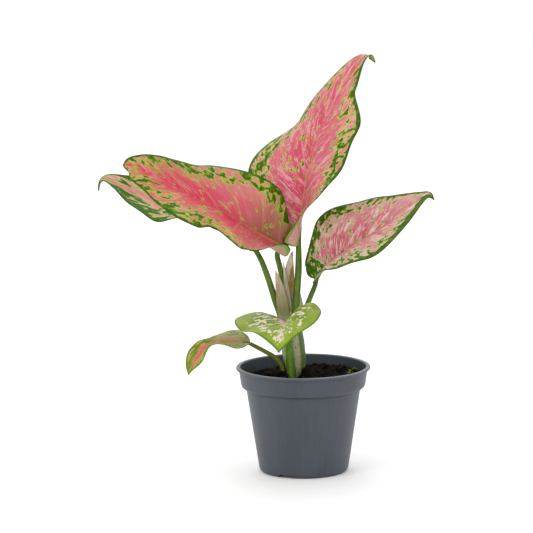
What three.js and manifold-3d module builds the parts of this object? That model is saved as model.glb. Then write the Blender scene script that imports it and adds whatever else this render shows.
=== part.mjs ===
// A young chinese evergreen (Aglaonema) in its plastic nursery pot.
//
// Millimetres, +Z up. The origin is the middle of the pot's underside, on the surface it stands on.
// The front of the plant faces -Y and its right side +X.
//
// Every leaf blade, stalk and papery sheath is its own solid. They fit together with a hairline of
// FIT between them, the way the real pieces lie against each other.

import * as THREE from "three";
import { mergeVertices } from "three/addons/utils/BufferGeometryUtils.js";
import Module from "manifold-3d";

const wasm = await Module();
wasm.setup();

// Driving dimensions.
const FIT = 0.3;

const POT_HEIGHT = 95;
const LIP_RADIUS = 60;
const LIP_DEPTH = 2.4;
const COLLAR_TOP_RADIUS = 57.5;
const COLLAR_LOW_RADIUS = 55.7;
const COLLAR_HEIGHT = 19;
const BODY_TOP_RADIUS = 51.2;
const BODY_LOW_RADIUS = 40;
const FOOT_RADIUS = 37;
const POT_WALL = 1.4;
const POT_SEGMENTS = 48;

const CHANNEL_WIDTH = 15;
const CHANNEL_HEIGHT = 3;
const CHANNEL_START = 12;
const DRAIN_RADIUS = 2.5;
const CHANNEL_ANGLES = [-114, 6, 126];

const SOIL_LEVEL = 84;
const SOIL_CLUMPS = 1.6;
const MOUNDS = [
  { x: 2.5, y: -11.5, height: 12.5 },
  { x: -20, y: -13, height: 10.5 },
];

const BLADE_THICKNESS = 0.8;
const SHEATH_THICKNESS = 0.8;

// A flat blade before it is bent: a smooth margin line from the base, round one lobe, to the tip.
// The first number runs along the midrib over the length, the second out from it over the half width.
const BLADE_MARGIN = [
  [-0.012, 0.05],
  [-0.055, 0.26],
  [-0.06, 0.52],
  [0.01, 0.8],
  [0.14, 0.96],
  [0.3, 1],
  [0.48, 0.92],
  [0.64, 0.74],
  [0.78, 0.5],
  [0.88, 0.28],
  [0.945, 0.12],
  [1, 0.006],
];

// A papery sheath is a strip that narrows to a torn point.
const SHEATH_MARGIN = [
  [0, 1],
  [0.4, 0.98],
  [0.72, 0.82],
  [0.91, 0.5],
  [1, 0.06],
];

// Each leaf: the line of its midrib from the stalk to the drip tip, the compass direction it heads
// (degrees from +X), and for its left and right half, seen along the heading with the face up, the
// half width and the lift above the level at even steps from base to tip. A wave is a ripple of the
// margin: its angle in degrees, how many there are over the length, and where they start. The curl is
// how much steeper than the margin each half leaves the midrib, and the lobe is how far its basal lobe
// stands back. Below zero the curl rolls the margin up: the front leaf's near lobe turns its underside
// out, and the upright leaf's right lobe wraps round in front of its stalk.
const LEAVES = {
  upright: {
    midrib: [
      [-3.1, -1, 206],
      [-2.4, 1.5, 215.5],
      [-1, 5, 231],
      [2.5, 8.5, 253],
      [10, 16, 289],
      [21, 24, 315],
      [32, 31, 335],
      [43, 37, 351],
      [55, 42, 365],
      [62, 44, 368],
      [67, 43, 362],
    ],
    heading: 55,
    widths: [
      [26, 48, 58, 61, 52, 39, 42, 37],
      [20, 17, 36, 47, 49, 53, 54, 47, 36, 26, 17],
    ],
    lifts: [
      [24, 20, 8, -12, -26, -18, -15, -15],
      [144, 72, 36, 26, 18, 11, 6, 2, 0, 0, 0],
    ],
    waves: [
      [3, 3, 0.2],
      [4, 3, 0.6],
    ],
    curl: [
      [12, 12],
      [-90, -30, 12, 12, 12, 12, 12, 12, 12],
    ],
    lobe: [0.2, 0.3],
    ridge: 2.4,
    colour: 0xdc6478,
  },
  front: {
    midrib: [
      [-19, -5, 204.8],
      [-26, -9.5, 210],
      [-44, -20, 221.5],
      [-66, -33, 237.5],
      [-84, -43, 249],
      [-107, -52, 263],
      [-131, -61, 278],
      [-148, -65, 287],
      [-156, -66, 287],
    ],
    heading: 204,
    widths: [
      [22, 28, 33, 46, 62, 42, 66, 82, 79, 86, 200],
      [20, 44, 46, 46, 48, 50, 46, 45, 47, 62, 105],
    ],
    lifts: [
      [28, 0, -23, -27, -28, -28, -30, -36, -46, -60, -70],
      [84, 84, 84, 72, 58, 48, 44, 50, 60, 70, 80],
    ],
    waves: [
      [4, 3, 0.1],
      [3, 3, 0.4],
    ],
    curl: [
      [-135, -10, 14, 14, 14, 14],
      [10, 10],
    ],
    lobe: [0.4, 0.2],
    ridge: 2.4,
    colour: 0xdb5f74,
  },
  back: {
    midrib: [
      [-45, 8, 203],
      [-73, 18, 218],
      [-109, 32, 232],
      [-145, 44, 242],
      [-163, 50, 251],
      [-175, 54, 256],
      [-181, 55, 254],
      [-183, 55, 246],
    ],
    heading: 161,
    widths: [
      [28, 34, 45, 46, 39, 34],
      [36, 42, 42, 42, 42, 40],
    ],
    lifts: [
      [12, 14, 0, -10, -4, -4],
      [40, 35, 25, 26, 26, 30],
    ],
    waves: [
      [5, 3.2, 0.2],
      [3, 3, 0],
    ],
    curl: [
      [8, 8],
      [8, 8],
    ],
    lobe: [1, 1],
    ridge: 2.2,
    colour: 0xd98a96,
  },
  right: {
    midrib: [
      [12.5, -2, 174],
      [17, -4, 181],
      [27, -8, 191],
      [40, -14, 203],
      [58, -22, 216],
      [80, -32, 232],
      [102, -39, 250],
      [111, -41, 255],
      [116, -41, 250],
    ],
    heading: -21,
    widths: [
      [20, 39, 40, 39, 34, 20],
      [12, 33, 47, 47, 47, 42],
    ],
    lifts: [
      [68, 75, 62, 52, 54, 58],
      [-8, -10, -22, -32, -38, -40],
    ],
    waves: [
      [3, 3, 0.3],
      [3, 3, 0],
    ],
    curl: [
      [10, 10],
      [12, 12],
    ],
    lobe: [0.4, 0.4],
    ridge: 2.2,
    colour: 0xd98f9c,
  },
  low: {
    midrib: [
      [-13.3, -17, 137],
      [-15, -38, 141],
      [-17, -62, 140],
      [-20, -80, 134],
      [-22, -89, 124],
    ],
    heading: -97,
    widths: [
      [25, 30, 35, 39, 40, 36],
      [34, 44, 46, 46, 46, 36],
    ],
    lifts: [
      [38, 36, 22, 8, 4, 0],
      [16, 10, -4, -5, -1, -2],
    ],
    waves: [
      [4, 2, 0.1],
      [5, 2, 0.4],
    ],
    curl: [
      [34, 34],
      [16, 16],
    ],
    lobe: [1.4, 1.4],
    ridge: 2,
    colour: 0x7da23a,
  },
  small: {
    midrib: [
      [-47, -16, 119],
      [-56, -22, 121],
      [-69, -30, 124],
      [-82, -38, 123],
      [-92, -44, 115],
      [-99, -46, 105],
      [-102, -45, 96],
    ],
    heading: 208,
    widths: [
      [3, 12, 13, 10, 14, 18],
      [20, 20, 15, 13, 19, 20],
    ],
    lifts: [
      [8, -14, -25, 0, -50, -62],
      [20, 10, 12, 24, 55, 62],
    ],
    waves: [
      [2, 3, 0.2],
      [2, 3, 0.7],
    ],
    curl: [
      [0, 0],
      [8, 8],
    ],
    lobe: [0.7, 0.7],
    ridge: 1.6,
    colour: 0xb06a62,
  },
};

// Each stalk runs from its seat in the stem or the soil to the base of its blade.
const STALKS = {
  upright: {
    line: [
      [-10, -5, 124],
      [-9, -5, 133],
      [-6.5, -5, 147],
      [-4.5, -4, 170],
      [-3.5, -3, 187],
      [-3.3, -1.6, 205.2],
    ],
    radii: [3.2, 3.2, 3.1, 3, 2.6],
  },
  front: {
    line: [
      [-11, 3, 124],
      [-12, 3, 134],
      [-15, 3, 154],
      [-17, 2, 170],
      [-20.4, -0.8, 186],
      [-22.4, -2, 196],
      [-20, -4.4, 204],
    ],
    radii: [2.6, 2.6, 2.6, 2.5, 2.3],
  },
  back: {
    line: [
      [-16, 0, 122],
      [-17.5, 0.5, 130],
      [-21, 2, 144],
      [-24.5, 3, 154],
      [-29, 4, 169],
      [-35, 6, 186],
      [-40, 8, 196],
      [-44.6, 8, 202.6],
    ],
    radii: [3.2, 3.1, 2.9, 2.6, 2.2],
  },
  right: {
    line: [
      [-4, 0, 124],
      [-2.5, 0, 135],
      [3, -1, 148],
      [6.5, -2, 157],
      [11, -2, 168],
      [12.4, -2, 173.4],
    ],
    radii: [2.8, 2.6, 2.4, 2.3, 2.1],
  },
  low: {
    line: [
      [-10, -8, 74],
      [-10.8, -9, 92],
      [-12.3, -11, 111],
      [-13.4, -14, 125],
      [-13.3, -16.8, 136.3],
    ],
    radii: [3.8, 4, 3.8, 3.2, 2.4],
  },
  small: {
    line: [
      [-17.4, -6.5, 76],
      [-17.9, -8, 88],
      [-19.4, -9.5, 97],
      [-24.5, -11.5, 104.5],
      [-34, -13.8, 111],
      [-46.4, -15.8, 118],
    ],
    radii: [2.3, 2.2, 2.1, 2, 1.8],
  },
};

// The papery sheaths stand in front of (-Y) or between the stalks they once wrapped.
const SHEATHS = {
  back: {
    midrib: [
      [-15, -4.5, 128],
      [-18, -5.4, 145],
      [-21, -5.6, 165],
      [-24, -5.4, 183],
    ],
    widths: [
      [4.5, 4.5, 3.6, 2.2],
      [5, 6.5, 6, 3.4],
    ],
    lifts: [
      [-12, -12, -8, 0],
      [-10, -10, -6, 0],
    ],
  },
  front: {
    midrib: [
      [-11, -2.9, 132],
      [-12.8, -3, 150],
      [-14.8, -2.9, 170],
      [-17, -2.8, 190],
    ],
    widths: [
      [3, 3.2, 2.2, 1.4],
      [3.5, 3.4, 2.4, 1.4],
    ],
    lifts: [
      [0, 0, 0, 0],
      [0, 0, 0, 0],
    ],
  },
  upright: {
    midrib: [
      [-9.5, -1.2, 130],
      [-11, -1.4, 150],
      [-10.4, -1.1, 174],
      [-8.7, -0.6, 199.5],
    ],
    widths: [
      [5, 5.5, 7.5, 5.5],
      [4, 5, 3.4, 1.6],
    ],
    lifts: [
      [0, 0, 0, 0],
      [0, 0, 0, 0],
    ],
  },
  right: {
    midrib: [
      [-2, -1.4, 128],
      [-2, -1.6, 145],
      [-2.4, -1.8, 162],
    ],
    widths: [
      [1.8, 2, 1.4],
      [3.4, 3.2, 1.8],
    ],
    lifts: [
      [0, 0, 0],
      [0, 0, 0],
    ],
  },
};

// The short cane, thickened by the stalk bases that grow wrapped round it.
const STEM_LINE = [
  [-5.4, 0, 66],
  [-5.6, 0, 84],
  [-8.4, 0, 108],
  [-9.8, 0, 128],
  [-11, 0, 146],
];
const STEM_RADII = [7.5, 8.4, 11.1, 10, 4.5];

// A value given at even steps, joined by a smooth curve; s runs from 0 to 1.
function along(values, s) {
  const place = Math.min(Math.max(s, 0), 1) * (values.length - 1);
  const i = Math.min(Math.floor(place), values.length - 2);
  const f = place - i;
  const b = values[i];
  const c = values[i + 1];
  const a = i > 0 ? values[i - 1] : 2 * b - c;
  const d = i + 2 < values.length ? values[i + 2] : 2 * c - b;
  return b + 0.5 * f * (c - a + f * (2 * a - 5 * b + 4 * c - d + f * (3 * (b - c) + d - a)));
}

function curveThrough(points) {
  const line = points.map((p) => new THREE.Vector3(...p));
  return new THREE.CatmullRomCurve3(line, false, "catmullrom", 0.5);
}

// A closed geometry as a solid, and a solid as a geometry.
function solidOf(geometry) {
  const bare = geometry.clone();
  bare.deleteAttribute("normal");
  bare.deleteAttribute("uv");
  const merged = mergeVertices(bare, 1e-4);
  const mesh = new wasm.Mesh({
    numProp: 3,
    vertProperties: new Float32Array(merged.attributes.position.array),
    triVerts: new Uint32Array(merged.index.array),
  });
  return new wasm.Manifold(mesh);
}

function geometryOf(solid) {
  const mesh = solid.getMesh();
  const positions = new Float32Array(mesh.numVert * 3);
  for (let i = 0; i < mesh.numVert; i++) {
    const at = i * mesh.numProp;
    positions.set(mesh.vertProperties.subarray(at, at + 3), i * 3);
  }
  const geometry = new THREE.BufferGeometry();
  geometry.setAttribute("position", new THREE.BufferAttribute(positions, 3));
  geometry.setIndex(new THREE.BufferAttribute(new Uint32Array(mesh.triVerts), 1));
  geometry.computeVertexNormals();
  return geometry;
}

// Crumbs that a cut leaves behind are dropped.
function largestOf(solid) {
  const bodies = solid.decompose();
  return bodies.reduce((a, b) => (a.volume() > b.volume() ? a : b));
}

// A closed body from rows of points: each row is a ring when closed is true, and the first and last
// rows are capped.
function ringBody(rows) {
  const n = rows[0].length;
  const positions = [];
  const index = [];
  for (const row of rows) {
    for (const p of row) {
      positions.push(p.x, p.y, p.z);
    }
  }
  for (let r = 0; r + 1 < rows.length; r++) {
    for (let k = 0; k < n; k++) {
      const a = r * n + k;
      const b = r * n + ((k + 1) % n);
      index.push(a, b, b + n, a, b + n, a + n);
    }
  }
  for (const [r, turned] of [
    [0, true],
    [rows.length - 1, false],
  ]) {
    const middle = new THREE.Vector3();
    rows[r].forEach((p) => middle.add(p));
    middle.divideScalar(n);
    const m = positions.length / 3;
    positions.push(middle.x, middle.y, middle.z);
    for (let k = 0; k < n; k++) {
      const a = r * n + k;
      const b = r * n + ((k + 1) % n);
      index.push(...(turned ? [m, b, a] : [m, a, b]));
    }
  }
  const geometry = new THREE.BufferGeometry();
  geometry.setAttribute("position", new THREE.Float32BufferAttribute(positions, 3));
  geometry.setIndex(index);
  return geometry;
}

// A round stalk along a line, its radius changing from end to end; grow makes its clearance body.
function stalkBody(line, radii, sides, rings, grow) {
  const curve = curveThrough(line);
  const frames = curve.computeFrenetFrames(rings, false);
  const rows = [];
  for (let r = 0; r <= rings; r++) {
    const s = r / rings;
    const centre = curve.getPointAt(s);
    if (grow > 0 && r === 0) {
      centre.addScaledVector(frames.tangents[r], -grow);
    }
    if (grow > 0 && r === rings) {
      centre.addScaledVector(frames.tangents[r], grow);
    }
    const radius = along(radii, s) + grow;
    const row = [];
    for (let k = 0; k < sides; k++) {
      const turn = (2 * Math.PI * k) / sides;
      const spoke = frames.normals[r].clone().multiplyScalar(Math.cos(turn) * radius);
      spoke.addScaledVector(frames.binormals[r], Math.sin(turn) * radius);
      row.push(spoke.add(centre));
    }
    rows.push(row);
  }
  return solidOf(ringBody(rows));
}

// The bent surface of a leaf or a sheath. x runs along the midrib over its length, y out from it over
// the half width (0 to 1), side is -1 for the left half and +1 for the right. The point is the
// midrib's, plus the half width turned up by the lift angle from the level line square to the heading.
function bentSurface(leaf) {
  const curve = curveThrough(leaf.midrib);
  const length = curve.getLength();
  const square = ((leaf.heading - 90) * Math.PI) / 180;
  const level = new THREE.Vector3(Math.cos(square), Math.sin(square), 0);
  return (x, y, side) => {
    const s = Math.min(Math.max(x, 0), 1);
    const half = side > 0 ? 1 : 0;
    const tangent = curve.getTangentAt(s);
    const point = curve.getPointAt(s);
    point.addScaledVector(tangent, (x - s) * length * leaf.lobe[half]);
    const across = level.clone().addScaledVector(tangent, -level.dot(tangent)).normalize();
    const up = across.clone().cross(tangent);
    const [swing, count, start] = leaf.waves[half];
    const ripple = swing * Math.sin(2 * Math.PI * (count * s + start)) * y * y;
    const rise = along(leaf.lifts[half], s) + along(leaf.curl[half], s) * (1 - y) + ripple;
    const angle = (rise * Math.PI) / 180;
    const reach = along(leaf.widths[half], s) * y;
    point.addScaledVector(across, reach * Math.cos(angle) * side);
    return point.addScaledVector(up, reach * Math.sin(angle));
  };
}

// A thin closed sheet: rows follow the side veins from the midrib to the margin, and both faces are
// split into triangles alike. The back face carries the raised midrib.
function sheetBody(leaf, marginLine, veinStart, rowCount, columns, thickness, grow) {
  const surface = bentSurface(leaf);
  const marginX = marginLine.map((p) => p[0]);
  const marginY = marginLine.map((p) => p[1]);
  const at = (t, v) => {
    const side = v < 0 ? -1 : 1;
    const out = Math.abs(v);
    const root = veinStart(t);
    const x = root + (along(marginX, t) - root) * out;
    return [x, along(marginY, t) * out, side];
  };
  const faceNormal = (x, y, side) => {
    const e = 0.004;
    const dx = surface(x + e, y, side).sub(surface(x - e, y, side));
    const dy = surface(x, y + e, side).sub(surface(x, Math.max(y - e, 0), side));
    return dy.cross(dx).multiplyScalar(-side).normalize();
  };
  const front = [];
  const back = [];
  for (let r = 0; r <= rowCount; r++) {
    const t = r / rowCount;
    for (const v of columns) {
      const [x, y, side] = at(t, v);
      const normal = faceNormal(x, y, side);
      if (v === 0) {
        normal.add(faceNormal(x, y, -side)).normalize();
      }
      const middle = surface(x, y, side);
      const ridge = v === 0 ? leaf.ridge * (1 - 0.8 * t) : 0;
      front.push(middle.clone().addScaledVector(normal, thickness / 2 + grow));
      back.push(middle.clone().addScaledVector(normal, -thickness / 2 - ridge - grow));
    }
  }
  const n = columns.length;
  const count = front.length;
  const positions = [];
  for (const p of [...front, ...back]) {
    positions.push(p.x, p.y, p.z);
  }
  const index = [];
  for (let r = 0; r < rowCount; r++) {
    for (let c = 0; c + 1 < n; c++) {
      const a = r * n + c;
      const b = a + 1;
      const d = a + n;
      const e = d + 1;
      const leaning = c < (n - 1) / 2;
      const faces = leaning ? [a, b, e, a, e, d] : [a, b, d, b, e, d];
      index.push(...faces);
      for (let k = 0; k < 6; k += 3) {
        index.push(faces[k] + count, faces[k + 2] + count, faces[k + 1] + count);
      }
    }
  }
  const rim = [];
  for (let c = 0; c + 1 < n; c++) {
    rim.push([c + 1, c]);
    rim.push([rowCount * n + c, rowCount * n + c + 1]);
  }
  for (let r = 0; r < rowCount; r++) {
    rim.push([r * n, (r + 1) * n]);
    rim.push([(r + 1) * n + n - 1, r * n + n - 1]);
  }
  for (const [a, b] of rim) {
    index.push(a, b, b + count, a, b + count, a + count);
  }
  const geometry = new THREE.BufferGeometry();
  geometry.setAttribute("position", new THREE.Float32BufferAttribute(positions, 3));
  geometry.setIndex(index);
  const solid = solidOf(geometry);
  if (solid.volume() > 0) {
    return solid;
  }
  for (let k = 0; k < index.length; k += 3) {
    [index[k + 1], index[k + 2]] = [index[k + 2], index[k + 1]];
  }
  geometry.setIndex(index);
  return solidOf(geometry);
}

// Side veins leave the midrib ahead of where they reach the margin; at the lobes they fan from the base.
function bladeVein(t) {
  const fan = 0.3;
  return 0.02 * t + 0.98 * Math.pow(Math.max(0, (t - fan) / (1 - fan)), 1.1);
}

function sheathVein(t) {
  return t;
}

// A solid turned about +Z from a closed profile of [radius, height] points.
function turned(profile, segments) {
  const outline = profile.map(([r, z]) => new THREE.Vector2(r, z));
  const geometry = new THREE.LatheGeometry(outline, segments);
  geometry.rotateX(Math.PI / 2);
  geometry.deleteAttribute("normal");
  geometry.deleteAttribute("uv");
  const merged = mergeVertices(geometry, 1e-4);
  const keep = [];
  const index = merged.index.array;
  for (let k = 0; k < index.length; k += 3) {
    const [a, b, c] = [index[k], index[k + 1], index[k + 2]];
    if (a !== b && b !== c && c !== a) {
      keep.push(a, b, c);
    }
  }
  merged.setIndex(keep);
  const solid = solidOf(merged);
  if (solid.volume() > 0) {
    return solid;
  }
  for (let k = 0; k < keep.length; k += 3) {
    [keep[k + 1], keep[k + 2]] = [keep[k + 2], keep[k + 1]];
  }
  merged.setIndex(keep);
  return solidOf(merged);
}

// A block that runs outward from the pot's axis at an angle, standing on height low.
function radialBlock(angle, width, start, end, low, high) {
  const block = new THREE.BoxGeometry(end - start, width, high - low);
  block.translate((start + end) / 2, 0, (low + high) / 2);
  block.rotateZ((angle * Math.PI) / 180);
  return solidOf(block);
}

function uprightPin(angle, distance, radius, low, high) {
  const pin = new THREE.CylinderGeometry(radius, radius, high - low, 16);
  pin.rotateX(Math.PI / 2);
  pin.translate(distance, 0, (low + high) / 2);
  pin.rotateZ((angle * Math.PI) / 180);
  return solidOf(pin);
}

// The pot: a lip, a rolled collar, a tapering wall and a foot with three channels under it.
const COLLAR_LOW = POT_HEIGHT - COLLAR_HEIGHT;

const outerProfile = [
  [0, 0],
  [FOOT_RADIUS, 0],
  [FOOT_RADIUS + 1.7, 0.8],
  [BODY_LOW_RADIUS, 3],
  [BODY_TOP_RADIUS, COLLAR_LOW - 0.6],
  [BODY_TOP_RADIUS + 2.2, COLLAR_LOW],
  [COLLAR_LOW_RADIUS - 0.8, COLLAR_LOW + 1],
  [COLLAR_LOW_RADIUS, COLLAR_LOW + 3],
  [COLLAR_TOP_RADIUS, POT_HEIGHT - LIP_DEPTH - 0.6],
  [LIP_RADIUS - 0.4, POT_HEIGHT - LIP_DEPTH],
  [LIP_RADIUS, POT_HEIGHT - LIP_DEPTH + 0.7],
  [LIP_RADIUS, POT_HEIGHT - 0.7],
  [LIP_RADIUS - 0.7, POT_HEIGHT],
];

const innerProfile = [
  [COLLAR_TOP_RADIUS - POT_WALL, POT_HEIGHT],
  [COLLAR_TOP_RADIUS - POT_WALL, POT_HEIGHT - LIP_DEPTH],
  [COLLAR_LOW_RADIUS - POT_WALL, COLLAR_LOW + 3],
  [BODY_TOP_RADIUS - POT_WALL, COLLAR_LOW],
  [BODY_LOW_RADIUS - POT_WALL, 3],
  [FOOT_RADIUS, POT_WALL],
  [0, POT_WALL],
];

function makePot() {
  const envelope = turned([...outerProfile, [0, POT_HEIGHT]], POT_SEGMENTS);
  let pot = turned([...outerProfile, ...innerProfile], POT_SEGMENTS);
  const roof = CHANNEL_HEIGHT + POT_WALL;
  for (const angle of CHANNEL_ANGLES) {
    const casing = radialBlock(
      angle,
      CHANNEL_WIDTH + 2 * POT_WALL,
      CHANNEL_START - POT_WALL,
      LIP_RADIUS,
      0,
      roof,
    );
    pot = pot.add(casing.intersect(envelope));
  }
  for (const angle of CHANNEL_ANGLES) {
    const tunnel = radialBlock(angle, CHANNEL_WIDTH, CHANNEL_START, LIP_RADIUS, -1, CHANNEL_HEIGHT);
    pot = pot.subtract(tunnel);
    for (const distance of [20, 31]) {
      pot = pot.subtract(uprightPin(angle, distance, DRAIN_RADIUS, 1, roof + 1));
    }
  }
  return largestOf(pot);
}

// The soil fills the pot to a crumbly surface that heaps up a little at the back right, with two mounds
// against the foot of the stem.
function soilHeight(x, y) {
  const heap = 0.035 * x + 0.03 * y;
  const coarse = Math.sin(0.21 * x + 1.3) * Math.cos(0.19 * y + 0.4);
  const fine = Math.sin(0.47 * x + 0.31 * y) * Math.cos(0.43 * y - 0.29 * x + 1);
  let level = SOIL_LEVEL + heap + SOIL_CLUMPS * (coarse + 0.6 * fine);
  for (const mound of MOUNDS) {
    level += mound.height * Math.exp(-((x - mound.x) ** 2 + (y - mound.y) ** 2) / 40);
  }
  return level;
}

function makeSoil() {
  const sides = 48;
  const wallAt = (z) => {
    const share = (z - 3) / (COLLAR_LOW - 3);
    return BODY_LOW_RADIUS + share * (BODY_TOP_RADIUS - BODY_LOW_RADIUS) - POT_WALL - FIT;
  };
  const ring = (radius, height) => {
    const row = [];
    for (let k = 0; k < sides; k++) {
      const turn = (2 * Math.PI * k) / sides;
      const x = radius * Math.cos(turn);
      const y = radius * Math.sin(turn);
      row.push(new THREE.Vector3(x, y, height === null ? soilHeight(x, y) : height));
    }
    return row;
  };
  const floor = POT_WALL + FIT;
  const rows = [
    ring(FOOT_RADIUS - 1, floor),
    ring(BODY_LOW_RADIUS - POT_WALL - FIT - 0.4, 3.4),
    ring(wallAt(COLLAR_LOW) - 0.9, COLLAR_LOW + 0.1),
    ring(COLLAR_LOW_RADIUS - POT_WALL - FIT - 0.3, COLLAR_LOW + 3.2),
  ];
  for (const radius of [54, 48, 41, 34, 27, 20, 13, 6]) {
    rows.push(ring(radius, null));
  }
  let soil = solidOf(ringBody(rows));
  for (const angle of CHANNEL_ANGLES) {
    const room = radialBlock(
      angle,
      CHANNEL_WIDTH + 2 * POT_WALL + 2 * FIT,
      CHANNEL_START - POT_WALL - FIT,
      LIP_RADIUS,
      0,
      CHANNEL_HEIGHT + POT_WALL + FIT,
    );
    soil = soil.subtract(room);
  }
  return soil;
}

const BLADE_COLUMNS = [-1, -0.8, -0.6, -0.4, -0.2, -0.06, 0, 0.06, 0.2, 0.4, 0.6, 0.8, 1];
const SHEATH_COLUMNS = [-1, -0.5, 0, 0.5, 1];
const STILL = [
  [0, 1, 0],
  [0, 1, 0],
];
const STRAIGHT = [
  [0, 0],
  [0, 0],
];

function makeBlade(leaf) {
  return sheetBody(leaf, BLADE_MARGIN, bladeVein, 19, BLADE_COLUMNS, BLADE_THICKNESS, 0);
}

function makeSheath(sheath, grow) {
  const midrib = sheath.midrib.map(([x, y, z], i) => [x, y, i === 0 ? z - grow : z]);
  const widths = sheath.widths.map((half) => half.map((width) => width + 1.3 * grow));
  const plain = { heading: 90, lobe: [1, 1], ridge: 0, curl: STRAIGHT, waves: STILL };
  const leaf = { ...plain, ...sheath, midrib, widths };
  return sheetBody(leaf, SHEATH_MARGIN, sheathVein, 8, SHEATH_COLUMNS, SHEATH_THICKNESS, grow);
}

const stalks = {};
const stalkRoom = {};
for (const [name, { line, radii }] of Object.entries(STALKS)) {
  stalks[name] = stalkBody(line, radii, 10, 13, 0);
  stalkRoom[name] = stalkBody(line, radii, 10, 13, FIT);
}

const sheaths = {};
const sheathRoom = {};
for (const [name, sheath] of Object.entries(SHEATHS)) {
  let body = makeSheath(sheath, 0);
  for (const room of [...Object.values(stalkRoom), ...Object.values(sheathRoom)]) {
    body = body.subtract(room);
  }
  sheaths[name] = largestOf(body);
  sheathRoom[name] = makeSheath(sheath, FIT);
}

let stem = stalkBody(STEM_LINE, STEM_RADII, 20, 12, 0);
for (const room of [...Object.values(stalkRoom), ...Object.values(sheathRoom)]) {
  stem = stem.subtract(room);
}
stem = largestOf(stem);
const stemRoom = stalkBody(STEM_LINE, STEM_RADII, 20, 12, FIT);

const blades = {};
for (const [name, leaf] of Object.entries(LEAVES)) {
  blades[name] = largestOf(makeBlade(leaf).subtract(stalkRoom[name]));
}

let soil = makeSoil().subtract(stemRoom);
for (const room of Object.values(stalkRoom)) {
  soil = soil.subtract(room);
}
soil = largestOf(soil);

const plant = new THREE.Group();

function place(name, solid, colour, roughness) {
  const material = new THREE.MeshStandardMaterial({ color: colour, roughness, metalness: 0 });
  const mesh = new THREE.Mesh(geometryOf(solid), material);
  mesh.name = name;
  plant.add(mesh);
}

place("pot", makePot(), 0x596268, 0.5);
place("soil", soil, 0x1d140e, 0.95);
place("stem", stem, 0x8a9a5a, 0.5);
for (const [name, body] of Object.entries(stalks)) {
  place("leafstalk_" + name, body, 0x4a7a22, 0.45);
}
for (const [name, body] of Object.entries(sheaths)) {
  place("sheath_" + name, body, 0xb0a084, 0.8);
}
for (const [name, body] of Object.entries(blades)) {
  place("blade_" + name, body, LEAVES[name].colour, 0.42);
}

export default plant;
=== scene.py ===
# %% [markdown]
# # A potted chinese evergreen
#
# This lesson dresses a young Aglaonema: six pink and green leaves on fleshy stalks, papery sheaths
# between the stalks, dark peat and a slate-grey nursery pot. The CAD frame already holds the plain
# solids. Here every one of them is made again as a finer surface in the same place, and gets a
# procedural material.

import math

import bmesh
import bpy
import numpy as np
from mathutils import Matrix


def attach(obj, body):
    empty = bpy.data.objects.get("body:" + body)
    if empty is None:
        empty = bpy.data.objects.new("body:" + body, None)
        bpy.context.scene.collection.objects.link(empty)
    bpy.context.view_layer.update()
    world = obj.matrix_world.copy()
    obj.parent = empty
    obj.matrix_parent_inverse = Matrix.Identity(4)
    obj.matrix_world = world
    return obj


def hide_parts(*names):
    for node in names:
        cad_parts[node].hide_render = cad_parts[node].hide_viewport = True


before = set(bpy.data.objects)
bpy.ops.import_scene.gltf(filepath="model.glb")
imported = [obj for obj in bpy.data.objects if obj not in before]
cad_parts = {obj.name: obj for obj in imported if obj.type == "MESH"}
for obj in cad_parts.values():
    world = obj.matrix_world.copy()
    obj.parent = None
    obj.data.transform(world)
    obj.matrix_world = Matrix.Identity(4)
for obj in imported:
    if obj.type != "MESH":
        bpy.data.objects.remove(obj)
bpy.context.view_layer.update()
MM = 0.001

# %% [markdown]
# ## The camera
#
# The photograph looks at the plant from a little above, from far away, so its lines hardly converge.
# A long lens 3.5 m off gives that. A short lens close by would make the front leaf too large. The
# camera is rolled by half a degree, because the pot's rim slopes a little in the photograph.

# %% Camera
CAMERA_DISTANCE = 3.5
CAMERA_RISE = math.radians(11.9)
CAMERA_ROLL = math.radians(0.5)
POT_MIDDLE = 0.045
AIM = np.array([-0.03201, 0.0, 0.1853])
PHOTO_WIDTH = 533
FOCAL_PIXELS = 3902.5
SENSOR = 36.0
CLIP_NEAR = 0.1
CLIP_FAR = 50


def unit(vectors):
    """Each vector over its own length."""
    length = np.linalg.norm(vectors, axis=-1, keepdims=True)
    return vectors / np.maximum(length, 1e-9)


def add_object(name, data):
    """A new object, linked to the scene."""
    made = bpy.data.objects.new(name, data)
    bpy.context.scene.collection.objects.link(made)
    return made


def turned(side, up, backward, place):
    """The matrix whose columns are an object's three axes and its place."""
    matrix = np.eye(4)
    matrix[:3] = np.stack([side, up, backward, place], -1)
    return Matrix(matrix.tolist())


def make_camera():
    """The camera looks at the aim, and the roll turns it about that direction."""
    rise = CAMERA_DISTANCE * np.array([0, -math.cos(CAMERA_RISE), math.sin(CAMERA_RISE)])
    place = np.array([AIM[0], 0, POT_MIDDLE]) + rise
    forward = unit(AIM - place)
    level = unit(np.cross(forward, [0, 0, 1]))
    upward = np.cross(level, forward)
    cos, sin = math.cos(CAMERA_ROLL), math.sin(CAMERA_ROLL)
    right, up = cos * level - sin * upward, sin * level + cos * upward
    data = bpy.data.cameras.new("camera")
    data.sensor_width = SENSOR
    data.lens = SENSOR * FOCAL_PIXELS / PHOTO_WIDTH
    data.clip_start = CLIP_NEAR
    data.clip_end = CLIP_FAR
    camera = add_object("camera", data)
    camera.matrix_world = turned(right, up, -forward, place)
    bpy.context.scene.camera = camera
    return camera


camera = make_camera()
print("Camera at", [round(c, 3) for c in camera.location], "lens", round(camera.data.lens, 1))

# %% [markdown]
# ## Curves and grids
#
# Leaves, stalks and sheaths all follow a smooth line through a few named points. The same rule gives
# a smooth change of width or angle along a leaf: the values stand at even steps and a smooth curve
# joins them. Working on whole arrays keeps every piece quick, however fine it is.

# %% Smooth values and smooth lines
LINE_STEPS = 401
TANGENT_STEP = 0.001


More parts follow.
